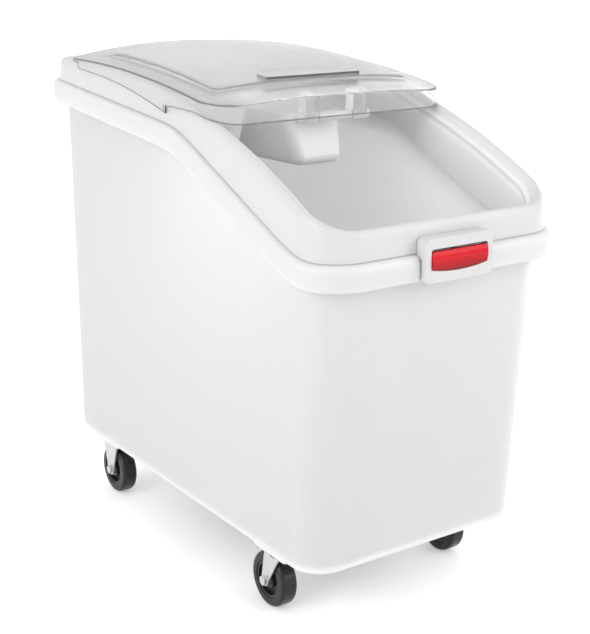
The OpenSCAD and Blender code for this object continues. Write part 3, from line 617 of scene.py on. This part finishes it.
def panel_painted_line(ring):
    """Painted shade at the foot of the panel's step: a thin dark line along the sides and rear."""
    front = PANEL_FRONT_Y + PANEL_STEP + LID_MIN_CORNER
    return [PANEL_LINE_PAINTED_SHADE if y > front else 0 for x, y, z in ring]


def border_painted_shade(ring, tone):
    """Painted shade that greys the lid's border: all round, apart from the middle of its front."""
    front = PANEL_FRONT_Y + PANEL_STEP
    tones = []
    for x, y, z in ring:
        from_corner = (LID_HALF - abs(x)) / PANEL_BORDER - 1
        tones.append(tone if y > front else tone * (1 - min(max(from_corner, 0), 1)))
    return tones


def lid_shape():
    """The lid's points and faces, and the painted shade at each point: dark edges, a grey border and a grey
    panel.
    """
    panel_start = PANEL_BORDER + PANEL_STEP
    panel_end = PANEL_BORDER + (PANEL_REAR_Y - PANEL_FRONT_Y) / 2 - LID_MIN_CORNER - LID_EDGE - LID_SHEET
    insets = even_values(LID_EDGE, PANEL_BORDER, EDGE_STEPS)
    line_place = len(insets)
    insets += even_values(PANEL_BORDER, panel_start, EDGE_STEPS)[1:]
    insets += even_values(panel_start, panel_end, EDGE_STEPS * 2)[1:]
    lower = [lid_middle_ring(panel_end + LID_SHEET, share, LID_SHEET) for share in reversed(MIDDLE_SHARES)]
    lower += [lid_ring(inset + LID_SHEET, LID_SHEET) for inset in reversed(insets)]
    lower += [lid_ring(LID_SHEET, LID_EDGE), lid_edge_ring(LID_SHEET, EDGE_FADE)]
    # The lower edge's rings carry a dark painted line
    edges = [lid_edge_ring(LID_SHEET), lid_edge_ring(0), lid_edge_ring(0, PAINTED_EDGE_LINE)]
    walls = [lid_edge_ring(0, EDGE_FADE)]
    for a in EDGE_ANGLES[:-1]:
        walls.append(lid_ring(LID_EDGE * (1 - math.cos(a)), LID_EDGE * (1 - math.sin(a))))
    upper = [lid_ring(inset, 0) for inset in insets]
    upper += [lid_middle_ring(panel_end, share, 0) for share in MIDDLE_SHARES]
    count = len(upper[0])
    tones = [0] * count * len(lower) + [1] * count * len(edges)
    for i, ring in enumerate(walls):
        tones += border_painted_shade(ring, ROUND_PAINTED_SHADE if i > ROUND_STEPS else 0)
    for i, ring in enumerate(upper):
        if i < line_place:
            tones += border_painted_shade(ring, BORDER_PAINTED_SHADE)
        else:
            tones += panel_painted_line(ring) if i == line_place else [PANEL_PAINTED_SHADE] * count
    points, faces = skin(lower + edges + walls + upper)
    tones += [0] * (len(points) - len(tones))
    return points, faces, tones


def tube_shape(line, radius):
    """A round wire along a line in the Y and Z directions, given as points with the way outward at each."""
    rings = []
    for x, y, z, out_y, out_z in line:
        ring = []
        for a in even_values(0, 2 * math.pi, EDGE_STEPS * 2)[:-1]:
            side = radius * math.sin(a)
            out = radius * math.cos(a)
            ring.append((x + side, y + out * out_y, z + out * out_z))
        rings.append(ring)
    return skin(rings)


def notch_painted_edge(side):
    """A dark line painted along the round notch in a skirt's front end, standing in for its shaded edge."""
    middle_z = slide_arc(CREST_RADIUS - SKIRT_DROP, SKIRT_FRONT_Y) + SKIRT_NOTCH_RISE
    line = []
    for a in even_values(-math.pi / 2, math.pi / 2, CORNER_STEPS):
        out_y = math.cos(a)
        out_z = math.sin(a)
        y = SKIRT_FRONT_Y + SKIRT_NOTCH_RADIUS * out_y
        z = middle_z + SKIRT_NOTCH_RADIUS * out_z
        line.append((side * (LID_HALF - PAINTED_EDGE_LINE), y, z, out_y, out_z))
    return tube_shape(line, PAINTED_EDGE_LINE)


def ridge_shape():
    """The wedge on the panel that the lid is pushed by, steep in front and rounded behind."""
    front_y = PANEL_FRONT_Y + PANEL_STEP + RIDGE_BACK
    rear_y = front_y + RIDGE_DEPTH
    front_z = lid_top(0, front_y) + PANEL_RISE
    rear_z = lid_top(0, rear_y) + PANEL_RISE
    half = RIDGE_WIDTH / 2
    turns = even_values(0, math.pi / 2, CORNER_STEPS)
    edge = [(half, front_y), (half, front_y + RIDGE_BROW)]
    edge += [
        (half - RIDGE_CORNER * (1 - math.cos(a)), rear_y - RIDGE_CORNER * (1 - math.sin(a))) for a in turns
    ]
    edge += [(-x, y) for x, y in reversed(edge)]

    def wedge_top(y):
        """Height of the wedge's top: level along its brow, then sloping to its tail."""
        share = max(0, (y - front_y - RIDGE_BROW) / (RIDGE_DEPTH - RIDGE_BROW))
        return front_z + RIDGE_RISE + share * (rear_z + RIDGE_TAIL - front_z - RIDGE_RISE)

    top = [(x, y, wedge_top(y)) for x, y in edge]
    root = [(x, y, lid_top(x, y) + PANEL_RISE - RIDGE_ROOT / 2) for x, y in edge]
    return skin([root, top])


def ridge_painted_front():
    """A thin dark strip painted on the wedge's steep front face, standing in for how dark that face looks
    seen edge on.
    """
    front_y = PANEL_FRONT_Y + PANEL_STEP + RIDGE_BACK
    top_z = lid_top(0, front_y) + PANEL_RISE + RIDGE_RISE
    half = RIDGE_WIDTH / 2
    return box_shape((-half, front_y - PAINTED_EDGE_LINE, top_z - RIDGE_PAINTED_LINE), (half, front_y, top_z))


# Scoop
GRIP_Y = LID_FRONT_Y + SCOOP_GRIP_BEHIND
GRIP_Z = LIP_Z - GRIP_BELOW_LIP
SCOOP_FRONT_Y = GRIP_Y + SCOOP_GRIP_AHEAD
SCOOP_REAR_Y = SCOOP_FRONT_Y + SCOOP_LENGTH
SCOOP_BOTTOM_Z = GRIP_Z - SCOOP_DEPTH


def scoop_spread(y):
    """Share of the scoop's width at a place along it: narrow at its closed end, full at its mouth."""
    nose_y = SCOOP_FRONT_Y - SCOOP_LEAN
    return SCOOP_NOSE_SHARE + (1 - SCOOP_NOSE_SHARE) * (y - nose_y) / (SCOOP_REAR_Y - nose_y)


def scoop_ring(share, inset, z):
    """One ring of the scoop's bowl at a share of its height, drawn in by a distance."""
    taper = (1 - share) * SCOOP_TAPER
    ahead = (1 - share) * SCOOP_LEAN
    points = outline(
        SCOOP_WIDTH / 2 - taper - inset, SCOOP_FRONT_Y - ahead + inset, SCOOP_REAR_Y - taper - inset,
        SCOOP_CORNER - inset, even_values(0, 1, EDGE_STEPS), even_values(-1, 1, EDGE_STEPS),
    )
    return [(x * scoop_spread(y), y, z) for x, y in points]


def scoop_floor_rings(inset, bottom_z):
    """Rings that round the edge of the scoop's floor, from its flat up to its wall."""
    rings = []
    for a in EDGE_ANGLES:
        z = bottom_z + SCOOP_ROUND * (1 - math.cos(a))
        rings.append(scoop_ring(0, inset + SCOOP_ROUND * (1 - math.sin(a)), z))
    return rings


def scoop_shape():
    """The scoop's bowl, before its mouth is cut open."""
    rings = scoop_floor_rings(0, SCOOP_BOTTOM_Z)
    rings += [scoop_ring(1, 0, GRIP_Z), scoop_ring(1, SCOOP_WALL, GRIP_Z)]
    rings += reversed(scoop_floor_rings(SCOOP_WALL, SCOOP_BOTTOM_Z + SCOOP_WALL))
    return skin(rings)


def rod_shape(radius, length, y, z):
    """A round bar along X with rounded ends."""
    round_end = radius / 2
    stops = []
    for a in EDGE_ANGLES:
        stops.append((round_end * (1 - math.cos(a)) - length / 2, radius - round_end * (1 - math.sin(a))))
    stops += [(-x, r) for x, r in reversed(stops)]
    rings = []
    for x, r in stops:
        turn = even_values(0, 2 * math.pi, SIDE_STEPS // 2)[:-1]
        rings.append([(x, y + r * math.cos(a), z + r * math.sin(a)) for a in turn])
    return skin(rings)


def box_shape(low, high):
    """A plain box between two corners."""
    corners = [(low[0], low[1]), (high[0], low[1]), (high[0], high[1]), (low[0], high[1])]
    return skin([level(corners, low[2]), level(corners, high[2])])


def cut_mouth(obj):
    """Cuts the scoop's rear end open along a slanting plane."""
    angle = math.radians(SCOOP_MOUTH_ANGLE)
    cut = bmesh.new()
    cut.from_mesh(obj.data)
    bmesh.ops.bisect_plane(
        cut, geom=cut.verts[:] + cut.edges[:] + cut.faces[:],
        plane_co=Vector((0, SCOOP_REAR_Y - SCOOP_TAPER - SCOOP_ROUND, SCOOP_BOTTOM_Z)) * MM,
        plane_no=Vector((0, math.cos(angle), math.sin(angle))), clear_outer=True,
    )
    rim = [edge for edge in cut.edges if edge.is_boundary]
    bmesh.ops.triangle_fill(cut, use_beauty=True, edges=rim)
    bmesh.ops.recalc_face_normals(cut, faces=cut.faces)
    cut.to_mesh(obj.data)
    cut.free()
    obj.data.shade_smooth()
    obj.data.set_sharp_from_angle(angle=SMOOTH_ANGLE)


# Materials, with patterns in cells per metre and depths in metres
NOISE_LOW = 0.35
NOISE_HIGH = 0.65
TONE_CELLS = 4
WEAR_CELLS = 45
GRAIN_STRENGTH = 0.35
PLASTIC_IOR = 1.5
PLASTIC_SPECULAR = 0.5
MILKY_RADIUS = (1, 1, 1)
MILKY_DEPTH = 0.022
CLEAR_IOR = 1.28
CLEAR_SHARE = 0.86
CLEAR_TINT = (0.93, 0.935, 0.935, 1)
CLEAR_ROUGHNESS = (0.12, 0.16)
HAZE_CELLS = 30
# Painted shade on the lid's toned points: a dark tint and less clearness
PAINTED_EDGE_CLEAR_SHARE = 0.2
PAINTED_EDGE_SHADE = (0.16, 0.16, 0.17, 1)
ZINC_DARK = (0.56, 0.565, 0.57)
ZINC_LIGHT = (0.62, 0.625, 0.63)
ZINC_ROUGHNESS = (0.38, 0.48)
SPANGLE_CELLS = 160
SMEAR_CELLS = 70
ZINC_GRAIN_CELLS = 1800
ZINC_GRAIN_DEPTH = 0.00001


def new_material(name):
    """A new material, with its nodes and links."""
    material = bpy.data.materials.new(name)
    material.use_nodes = True
    return material, material.node_tree.nodes, material.node_tree.links


def noise(nodes, links, scale, detail):
    """A noise pattern fixed to the object; the scale is in cells per metre."""
    place = nodes.new("ShaderNodeTexCoord")
    texture = nodes.new("ShaderNodeTexNoise")
    texture.inputs["Scale"].default_value = scale
    texture.inputs["Detail"].default_value = detail
    links.new(place.outputs["Object"], texture.inputs["Vector"])
    return texture.outputs["Fac"]


def ranged(nodes, links, value, low, high):
    """A pattern spread over a range of values."""
    spread = nodes.new("ShaderNodeMapRange")
    spread.inputs["From Min"].default_value = NOISE_LOW
    spread.inputs["From Max"].default_value = NOISE_HIGH
    spread.inputs["To Min"].default_value = low
    spread.inputs["To Max"].default_value = high
    links.new(value, spread.inputs["Value"])
    return spread.outputs["Result"]


def two_tones(nodes, links, value, dark, light):
    """A colour that wanders between two tones with a pattern."""
    ramp = nodes.new("ShaderNodeValToRGB")
    ramp.color_ramp.elements[0].position = NOISE_LOW
    ramp.color_ramp.elements[0].color = (*dark, 1)
    ramp.color_ramp.elements[1].position = NOISE_HIGH
    ramp.color_ramp.elements[1].color = (*light, 1)
    links.new(value, ramp.inputs["Fac"])
    return ramp.outputs["Color"]


def bump(nodes, links, value, depth, strength, shader):
    """Fine relief on a shader, with its depth in metres."""
    relief = nodes.new("ShaderNodeBump")
    relief.inputs["Strength"].default_value = strength
    relief.inputs["Distance"].default_value = depth
    links.new(value, relief.inputs["Height"])
    links.new(relief.outputs["Normal"], shader.inputs["Normal"])


def painted_tone_at_points(nodes):
    """How much of its second tone, painted light and shade, a material shows at each point of a mesh."""
    tone = nodes.new("ShaderNodeAttribute")
    tone.attribute_name = PAINTED_TONE
    return tone.outputs["Fac"]


def colour_mix(nodes, blend):
    """A node that blends two colours."""
    mix = nodes.new("ShaderNodeMix")
    mix.data_type = "RGBA"
    mix.blend_type = blend
    return mix


def plastic(name, dark, light, roughness, grain_cells, grain_depth, milky=0, shine=1, painted_share=1):
    """Moulded plastic with faint tone changes, uneven gloss and a fine grain.

    It can have a share of milky depth, less shine, and painted light and shade: a share of its colour at
    points with a painted tone.
    """
    material, nodes, links = new_material(name)
    shader = nodes["Principled BSDF"]
    tone = noise(nodes, links, TONE_CELLS, detail=3)
    shade = colour_mix(nodes, "MULTIPLY")
    shade.inputs["B"].default_value = (painted_share, painted_share, painted_share, 1)
    links.new(painted_tone_at_points(nodes), shade.inputs["Factor"])
    links.new(two_tones(nodes, links, tone, dark, light), shade.inputs["A"])
    links.new(shade.outputs["Result"], shader.inputs["Base Color"])
    wear = noise(nodes, links, WEAR_CELLS, detail=5)
    links.new(ranged(nodes, links, wear, *roughness), shader.inputs["Roughness"])
    grain = noise(nodes, links, grain_cells, detail=2)
    bump(nodes, links, grain, grain_depth, GRAIN_STRENGTH, shader)
    shader.inputs["IOR"].default_value = PLASTIC_IOR
    shader.inputs["Specular IOR Level"].default_value = shine * PLASTIC_SPECULAR
    shader.inputs["Subsurface Weight"].default_value = milky
    shader.inputs["Subsurface Radius"].default_value = MILKY_RADIUS
    shader.inputs["Subsurface Scale"].default_value = MILKY_DEPTH
    return material


def clear_plastic(name):
    """Clear glossy plastic with a faint haze, and painted shade: darker and less clear at points with a
    painted tone.
    """
    material, nodes, links = new_material(name)
    shader = nodes["Principled BSDF"]
    edge = painted_tone_at_points(nodes)
    tint = colour_mix(nodes, "MIX")
    tint.inputs["A"].default_value = CLEAR_TINT
    tint.inputs["B"].default_value = PAINTED_EDGE_SHADE
    links.new(edge, tint.inputs["Factor"])
    links.new(tint.outputs["Result"], shader.inputs["Base Color"])
    clearness = nodes.new("ShaderNodeMapRange")
    clearness.inputs["To Min"].default_value = CLEAR_SHARE
    clearness.inputs["To Max"].default_value = PAINTED_EDGE_CLEAR_SHARE
    links.new(edge, clearness.inputs["Value"])
    links.new(clearness.outputs["Result"], shader.inputs["Transmission Weight"])
    shader.inputs["IOR"].default_value = CLEAR_IOR
    haze = noise(nodes, links, HAZE_CELLS, detail=4)
    links.new(ranged(nodes, links, haze, *CLEAR_ROUGHNESS), shader.inputs["Roughness"])
    return material


def zinc(name):
    """Bright zinc plate on pressed steel, with a faint spangle."""
    material, nodes, links = new_material(name)
    shader = nodes["Principled BSDF"]
    shader.inputs["Metallic"].default_value = 1
    spangle = noise(nodes, links, SPANGLE_CELLS, detail=3)
    metal = two_tones(nodes, links, spangle, ZINC_DARK, ZINC_LIGHT)
    links.new(metal, shader.inputs["Base Color"])
    smears = noise(nodes, links, SMEAR_CELLS, detail=5)
    links.new(ranged(nodes, links, smears, *ZINC_ROUGHNESS), shader.inputs["Roughness"])
    grain = noise(nodes, links, ZINC_GRAIN_CELLS, detail=2)
    bump(nodes, links, grain, ZINC_GRAIN_DEPTH, GRAIN_STRENGTH, shader)
    return material


# Painted shade: the tub's thick rim is darkened to a share of its colour
tub_white = plastic(
    "tub_plastic", dark=(0.955, 0.955, 0.955), light=(0.97, 0.97, 0.97), roughness=(0.36, 0.5),
    grain_cells=1400, grain_depth=0.00006, milky=1, painted_share=0.78,
)
# Painted light: the frame's rails get their colour raised by a share above one
frame_white = plastic(
    "frame_plastic", dark=(0.66, 0.66, 0.66), light=(0.68, 0.68, 0.68), roughness=(0.3, 0.42),
    grain_cells=1600, grain_depth=0.00004, painted_share=1.42,
)
scoop_white = plastic(
    "scoop_plastic", dark=(0.93, 0.93, 0.93), light=(0.95, 0.95, 0.95), roughness=(0.3, 0.44),
    grain_cells=1600, grain_depth=0.00004,
)
latch_red = plastic(
    "latch_plastic", dark=(0.64, 0.004, 0.014), light=(0.72, 0.006, 0.018), roughness=(0.1, 0.16),
    grain_cells=900, grain_depth=0.00001, shine=0.35,
)
core_dark = plastic(
    "core_plastic", dark=(0.016, 0.016, 0.017), light=(0.026, 0.026, 0.027), roughness=(0.3, 0.42),
    grain_cells=1200, grain_depth=0.00006, shine=0.7,
)
rubber = plastic(
    "tyre_rubber", dark=(0.007, 0.007, 0.0075), light=(0.012, 0.012, 0.0125), roughness=(0.26, 0.36),
    grain_cells=900, grain_depth=0.00004, shine=0.7,
)
clear = clear_plastic("lid_clear")
steel = zinc("caster_zinc")


def height_fade(nodes, links, low, high, foot):
    """A value that rises from a foot value to one between two heights in metres."""
    place = nodes.new("ShaderNodeTexCoord")
    split = nodes.new("ShaderNodeSeparateXYZ")
    links.new(place.outputs["Object"], split.inputs["Vector"])
    fade = nodes.new("ShaderNodeMapRange")
    fade.inputs["From Min"].default_value = low
    fade.inputs["From Max"].default_value = high
    fade.inputs["To Min"].default_value = foot
    links.new(split.outputs["Z"], fade.inputs["Value"])
    return fade.outputs["Result"]


def paint_shade_below(material, low, high, tone):
    """Paints shade on a material: darkens it downwards between two heights in metres, to a share of its
    colour.
    """
    nodes = material.node_tree.nodes
    links = material.node_tree.links
    shader = nodes["Principled BSDF"]
    shade = colour_mix(nodes, "MULTIPLY")
    shade.inputs["Factor"].default_value = 1
    links.new(shader.inputs["Base Color"].links[0].from_socket, shade.inputs["A"])
    links.new(height_fade(nodes, links, low, high, tone), shade.inputs["B"])
    links.new(shade.outputs["Result"], shader.inputs["Base Color"])


def thicken_below(material, low, high, milky):
    """Makes a milky material denser downwards between two heights in metres."""
    nodes = material.node_tree.nodes
    links = material.node_tree.links
    shader = nodes["Principled BSDF"]
    links.new(height_fade(nodes, links, low, high, milky), shader.inputs["Subsurface Weight"])


# The tub's floor is thicker than its walls, so less light comes through it
TUB_FLOOR_TOP = (TUB_LIFT + TUB_FLOOR) * MM
TUB_FLOOR_MILKY = 0.35
thicken_below(tub_white, TUB_FLOOR_TOP, TUB_FLOOR_TOP + TUB_EDGE * MM, TUB_FLOOR_MILKY)

# Painted shade: the rocker's colour darkens towards its foot, where its rounded front turns down from the
# light
LEVER_FOOT = 14
LEVER_BROW = 4
LEVER_FOOT_PAINTED_SHADE = 0.5
bezel_low, bezel_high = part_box("latch_bezel")
latch_z = (bezel_low[2] + bezel_high[2]) / 2
paint_shade_below(latch_red, latch_z - LEVER_FOOT * MM, latch_z + LEVER_BROW * MM, LEVER_FOOT_PAINTED_SHADE)

SLOT_MATERIALS = {
    "tub_white": tub_white, "frame_white": frame_white, "scoop_white": scoop_white, "latch_red": latch_red,
    "core_plastic": core_dark, "tyre_rubber": rubber, "clear_lid": clear, "zinc_steel": steel,
}

# Each CAD node gets the material of its slot
for subpart in frame["record"]["subparts"]:
    node = frame["nodes"][subpart["node"]]
    node.data.materials.clear()
    node.data.materials.append(SLOT_MATERIALS[subpart["material_slot"]])

# Widths of the edges that are rounded on CAD nodes
SOFT_EDGES = {"latch_bezel": 1.2, "latch_lever": 1, "scoop_clip_left": 0.4, "scoop_clip_right": 0.4}
SOFT_EDGE_STEPS = 3


def soften(name, width):
    """Rounds the sharp edges of a CAD node by a width in millimetres."""
    edges = frame["nodes"][name].modifiers.new("soft_edges", "BEVEL")
    edges.width = width * MM
    edges.segments = SOFT_EDGE_STEPS
    edges.limit_method = "ANGLE"
    edges.angle_limit = SMOOTH_ANGLE


for name, width in SOFT_EDGES.items():
    soften(name, width)


def add_piece(obj, slot, body):
    """A smooth piece takes the material of a slot and moves with a body."""
    obj.data.materials.append(SLOT_MATERIALS[slot])
    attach(obj, body)


def dress(obj, slot, body, *nodes):
    """A smooth piece takes the place of CAD nodes and moves with their body."""
    add_piece(obj, slot, body)
    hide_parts(*nodes)


# Smooth pieces
pads = [pad_shape(side * WHEEL_X, y) for side in (-1, 1) for y in (KINGPIN_Y, REAR_AXLE_Y)]
add_piece(make_object("tub_pads", joined(pads)), "tub_white", "bin")
tub_points, tub_faces, tub_painted_shade = tub_shape()
dress(make_object("tub_skin", (tub_points, tub_faces), tub_painted_shade), "tub_white", "bin", "tub")

frame_points, frame_faces, frame_painted_light = frame_shape()
frame_deck = deck_shape()
frame_painted_light += [0] * len(frame_deck[0])
frame_parts = joined([(frame_points, frame_faces), frame_deck])
dress(make_object("frame_skin", frame_parts, frame_painted_light), "frame_white", "bin", "lid_frame")

lid_points, lid_faces, lid_painted_shade = lid_shape()
lid_ridge = ridge_shape()
# Dark lines painted where faces of the clear lid look dark edge on
painted_dark_edges = [ridge_painted_front(), notch_painted_edge(-1), notch_painted_edge(1)]
lid_painted_shade += [0] * len(lid_ridge[0])
lid_painted_shade += [1] * sum(len(points) for points, faces in painted_dark_edges)
lid_parts = joined([(lid_points, lid_faces), lid_ridge] + painted_dark_edges)
dress(make_object("lid_skin", lid_parts, lid_painted_shade), "clear_lid", "lid", "sliding_lid")

scoop_bowl = make_object("scoop_skin", scoop_shape())
cut_mouth(scoop_bowl)
neck_low = (-NECK_WIDTH / 2, GRIP_Y, GRIP_Z - NECK_THICKNESS)
neck_high = (NECK_WIDTH / 2, SCOOP_FRONT_Y + SCOOP_WALL / 2, GRIP_Z)
grip_parts = [rod_shape(GRIP_RADIUS, GRIP_LENGTH, GRIP_Y, GRIP_Z), box_shape(neck_low, neck_high)]
scoop_grip = make_object("scoop_grip", joined(grip_parts))
dress(scoop_bowl, "scoop_white", "scoop", "scoop")
add_piece(scoop_grip, "scoop_white", "scoop")

# Camera at the photograph's viewpoint, in metres
CAMERA_PLACE = Vector((-1.0049, -1.5046, 0.860))
CAMERA_AIM = Vector((0.5489, 0.7956, -0.2564))
CAMERA_LENS = 73.73
CAMERA_SHIFT = (-0.012, -0.056)
CAMERA_REACH = 200
camera_data = bpy.data.cameras.new("camera")
camera = bpy.data.objects.new("camera", camera_data)
bpy.context.scene.collection.objects.link(camera)
bpy.context.scene.camera = camera
camera.location = CAMERA_PLACE
camera.rotation_euler = CAMERA_AIM.to_track_quat("-Z", "Y").to_euler()
camera_data.lens = CAMERA_LENS
camera_data.shift_x, camera_data.shift_y = CAMERA_SHIFT
camera_data.clip_end = CAMERA_REACH

# Lamps: name, place and width in metres, and power in watts
LAMPS = [
    ("key", (-3.0, -0.6, 1.5), 2.0, 44),
    ("fill", (2.0, -2.6, 1.7), 2.4, 48),
    ("back", (2.2, 2.4, 1.7), 2.4, 34),
]
BIN_MIDDLE = (0, 0, 0.35)


def area_lamp(name, place, size, power):
    """A soft square lamp that faces the bin's middle."""
    data = bpy.data.lights.new(name, "AREA")
    data.size = size
    data.energy = power
    lamp = bpy.data.objects.new(name, data)
    lamp.location = place
    lamp.rotation_euler = (Vector(BIN_MIDDLE) - Vector(place)).to_track_quat("-Z", "Y").to_euler()
    bpy.context.scene.collection.objects.link(lamp)
    return lamp


lamps = {name: area_lamp(name, place, size, power) for name, place, size, power in LAMPS}

# No glossy piece mirrors the lamp behind the bin
lamps["back"].visible_glossy = False


def seen_ray(nodes, links):
    """One for rays that show the background: those of the camera, of gloss and through clear plastic."""
    path = nodes.new("ShaderNodeLightPath")
    first = nodes.new("ShaderNodeMath")
    first.operation = "MAXIMUM"
    links.new(path.outputs["Is Camera Ray"], first.inputs[0])
    links.new(path.outputs["Is Glossy Ray"], first.inputs[1])
    second = nodes.new("ShaderNodeMath")
    second.operation = "MAXIMUM"
    links.new(first.outputs["Value"], second.inputs[0])
    links.new(path.outputs["Is Transmission Ray"], second.inputs[1])
    return second.outputs["Value"]


# World: an even sky that lights the bin, and plain white where it is seen
WORLD_LIGHT = 0.68
WHITE = (1, 1, 1, 1)
world = bpy.data.worlds.new("studio")
bpy.context.scene.world = world
world.use_nodes = True
sky_nodes = world.node_tree.nodes
sky_links = world.node_tree.links
sky_nodes.clear()
sky_light = sky_nodes.new("ShaderNodeBackground")
sky_light.inputs["Color"].default_value = WHITE
sky_light.inputs["Strength"].default_value = WORLD_LIGHT
sky_seen = sky_nodes.new("ShaderNodeBackground")
sky_seen.inputs["Color"].default_value = WHITE
sky_seen.inputs["Strength"].default_value = 1
sky_mix = sky_nodes.new("ShaderNodeMixShader")
sky_out = sky_nodes.new("ShaderNodeOutputWorld")
sky_links.new(seen_ray(sky_nodes, sky_links), sky_mix.inputs["Fac"])
sky_links.new(sky_light.outputs["Background"], sky_mix.inputs[1])
sky_links.new(sky_seen.outputs["Background"], sky_mix.inputs[2])
sky_links.new(sky_mix.outputs["Shader"], sky_out.inputs["Surface"])

# Floor, in metres: pale, and lifted to white where it is seen, less near the bin, adding painted shadow to
# the real one
FLOOR_HALF = 30
FLOOR_COLOUR = (0.86, 0.86, 0.86, 1)
FLOOR_ROUGHNESS = 0.8
FLOOR_FAR = 3.5
# Lift by distance from the bin, stretched to its outline: little near it, where it paints shadow, and full
# far away
FLOOR_LIFT_SHARES = [(0.04, 0.03), (0.12, 0.4), (1, 1)]
floor_mesh = bpy.data.meshes.new("floor")
floor_sides = [(-1, -1), (1, -1), (1, 1), (-1, 1)]
floor_corners = [(x * FLOOR_HALF, y * FLOOR_HALF, 0) for x, y in floor_sides]
floor_mesh.from_pydata(floor_corners, [], [(0, 1, 2, 3)])
floor = bpy.data.objects.new("floor", floor_mesh)
bpy.context.scene.collection.objects.link(floor)
floor_material, floor_nodes, floor_links = new_material("floor")
floor_shader = floor_nodes["Principled BSDF"]
floor_shader.inputs["Base Color"].default_value = FLOOR_COLOUR
floor_shader.inputs["Roughness"].default_value = FLOOR_ROUGHNESS
floor_shader.inputs["Emission Color"].default_value = WHITE
floor_place = floor_nodes.new("ShaderNodeTexCoord")
floor_stretch = floor_nodes.new("ShaderNodeVectorMath")
floor_stretch.operation = "MULTIPLY"
floor_stretch.inputs[1].default_value = (BIN_LENGTH / BIN_WIDTH / FLOOR_FAR, 1 / FLOOR_FAR, 1)
floor_links.new(floor_place.outputs["Object"], floor_stretch.inputs[0])
floor_reach = floor_nodes.new("ShaderNodeVectorMath")
floor_reach.operation = "LENGTH"
floor_links.new(floor_stretch.outputs["Vector"], floor_reach.inputs[0])
floor_fade = floor_nodes.new("ShaderNodeValToRGB")
floor_steps = floor_fade.color_ramp.elements
floor_steps.new(FLOOR_LIFT_SHARES[1][0])
for step, (place, tone) in zip(floor_steps, FLOOR_LIFT_SHARES):
    step.position = place
    step.color = (tone, tone, tone, 1)
floor_links.new(floor_reach.outputs["Value"], floor_fade.inputs["Fac"])
lift = floor_nodes.new("ShaderNodeMath")
lift.operation = "MULTIPLY"
floor_links.new(floor_fade.outputs["Color"], lift.inputs[1])
floor_links.new(seen_ray(floor_nodes, floor_links), lift.inputs[0])
floor_links.new(lift.outputs["Value"], floor_shader.inputs["Emission Strength"])
floor_mesh.materials.append(floor_material)

bpy.context.scene.view_settings.view_transform = "Standard"
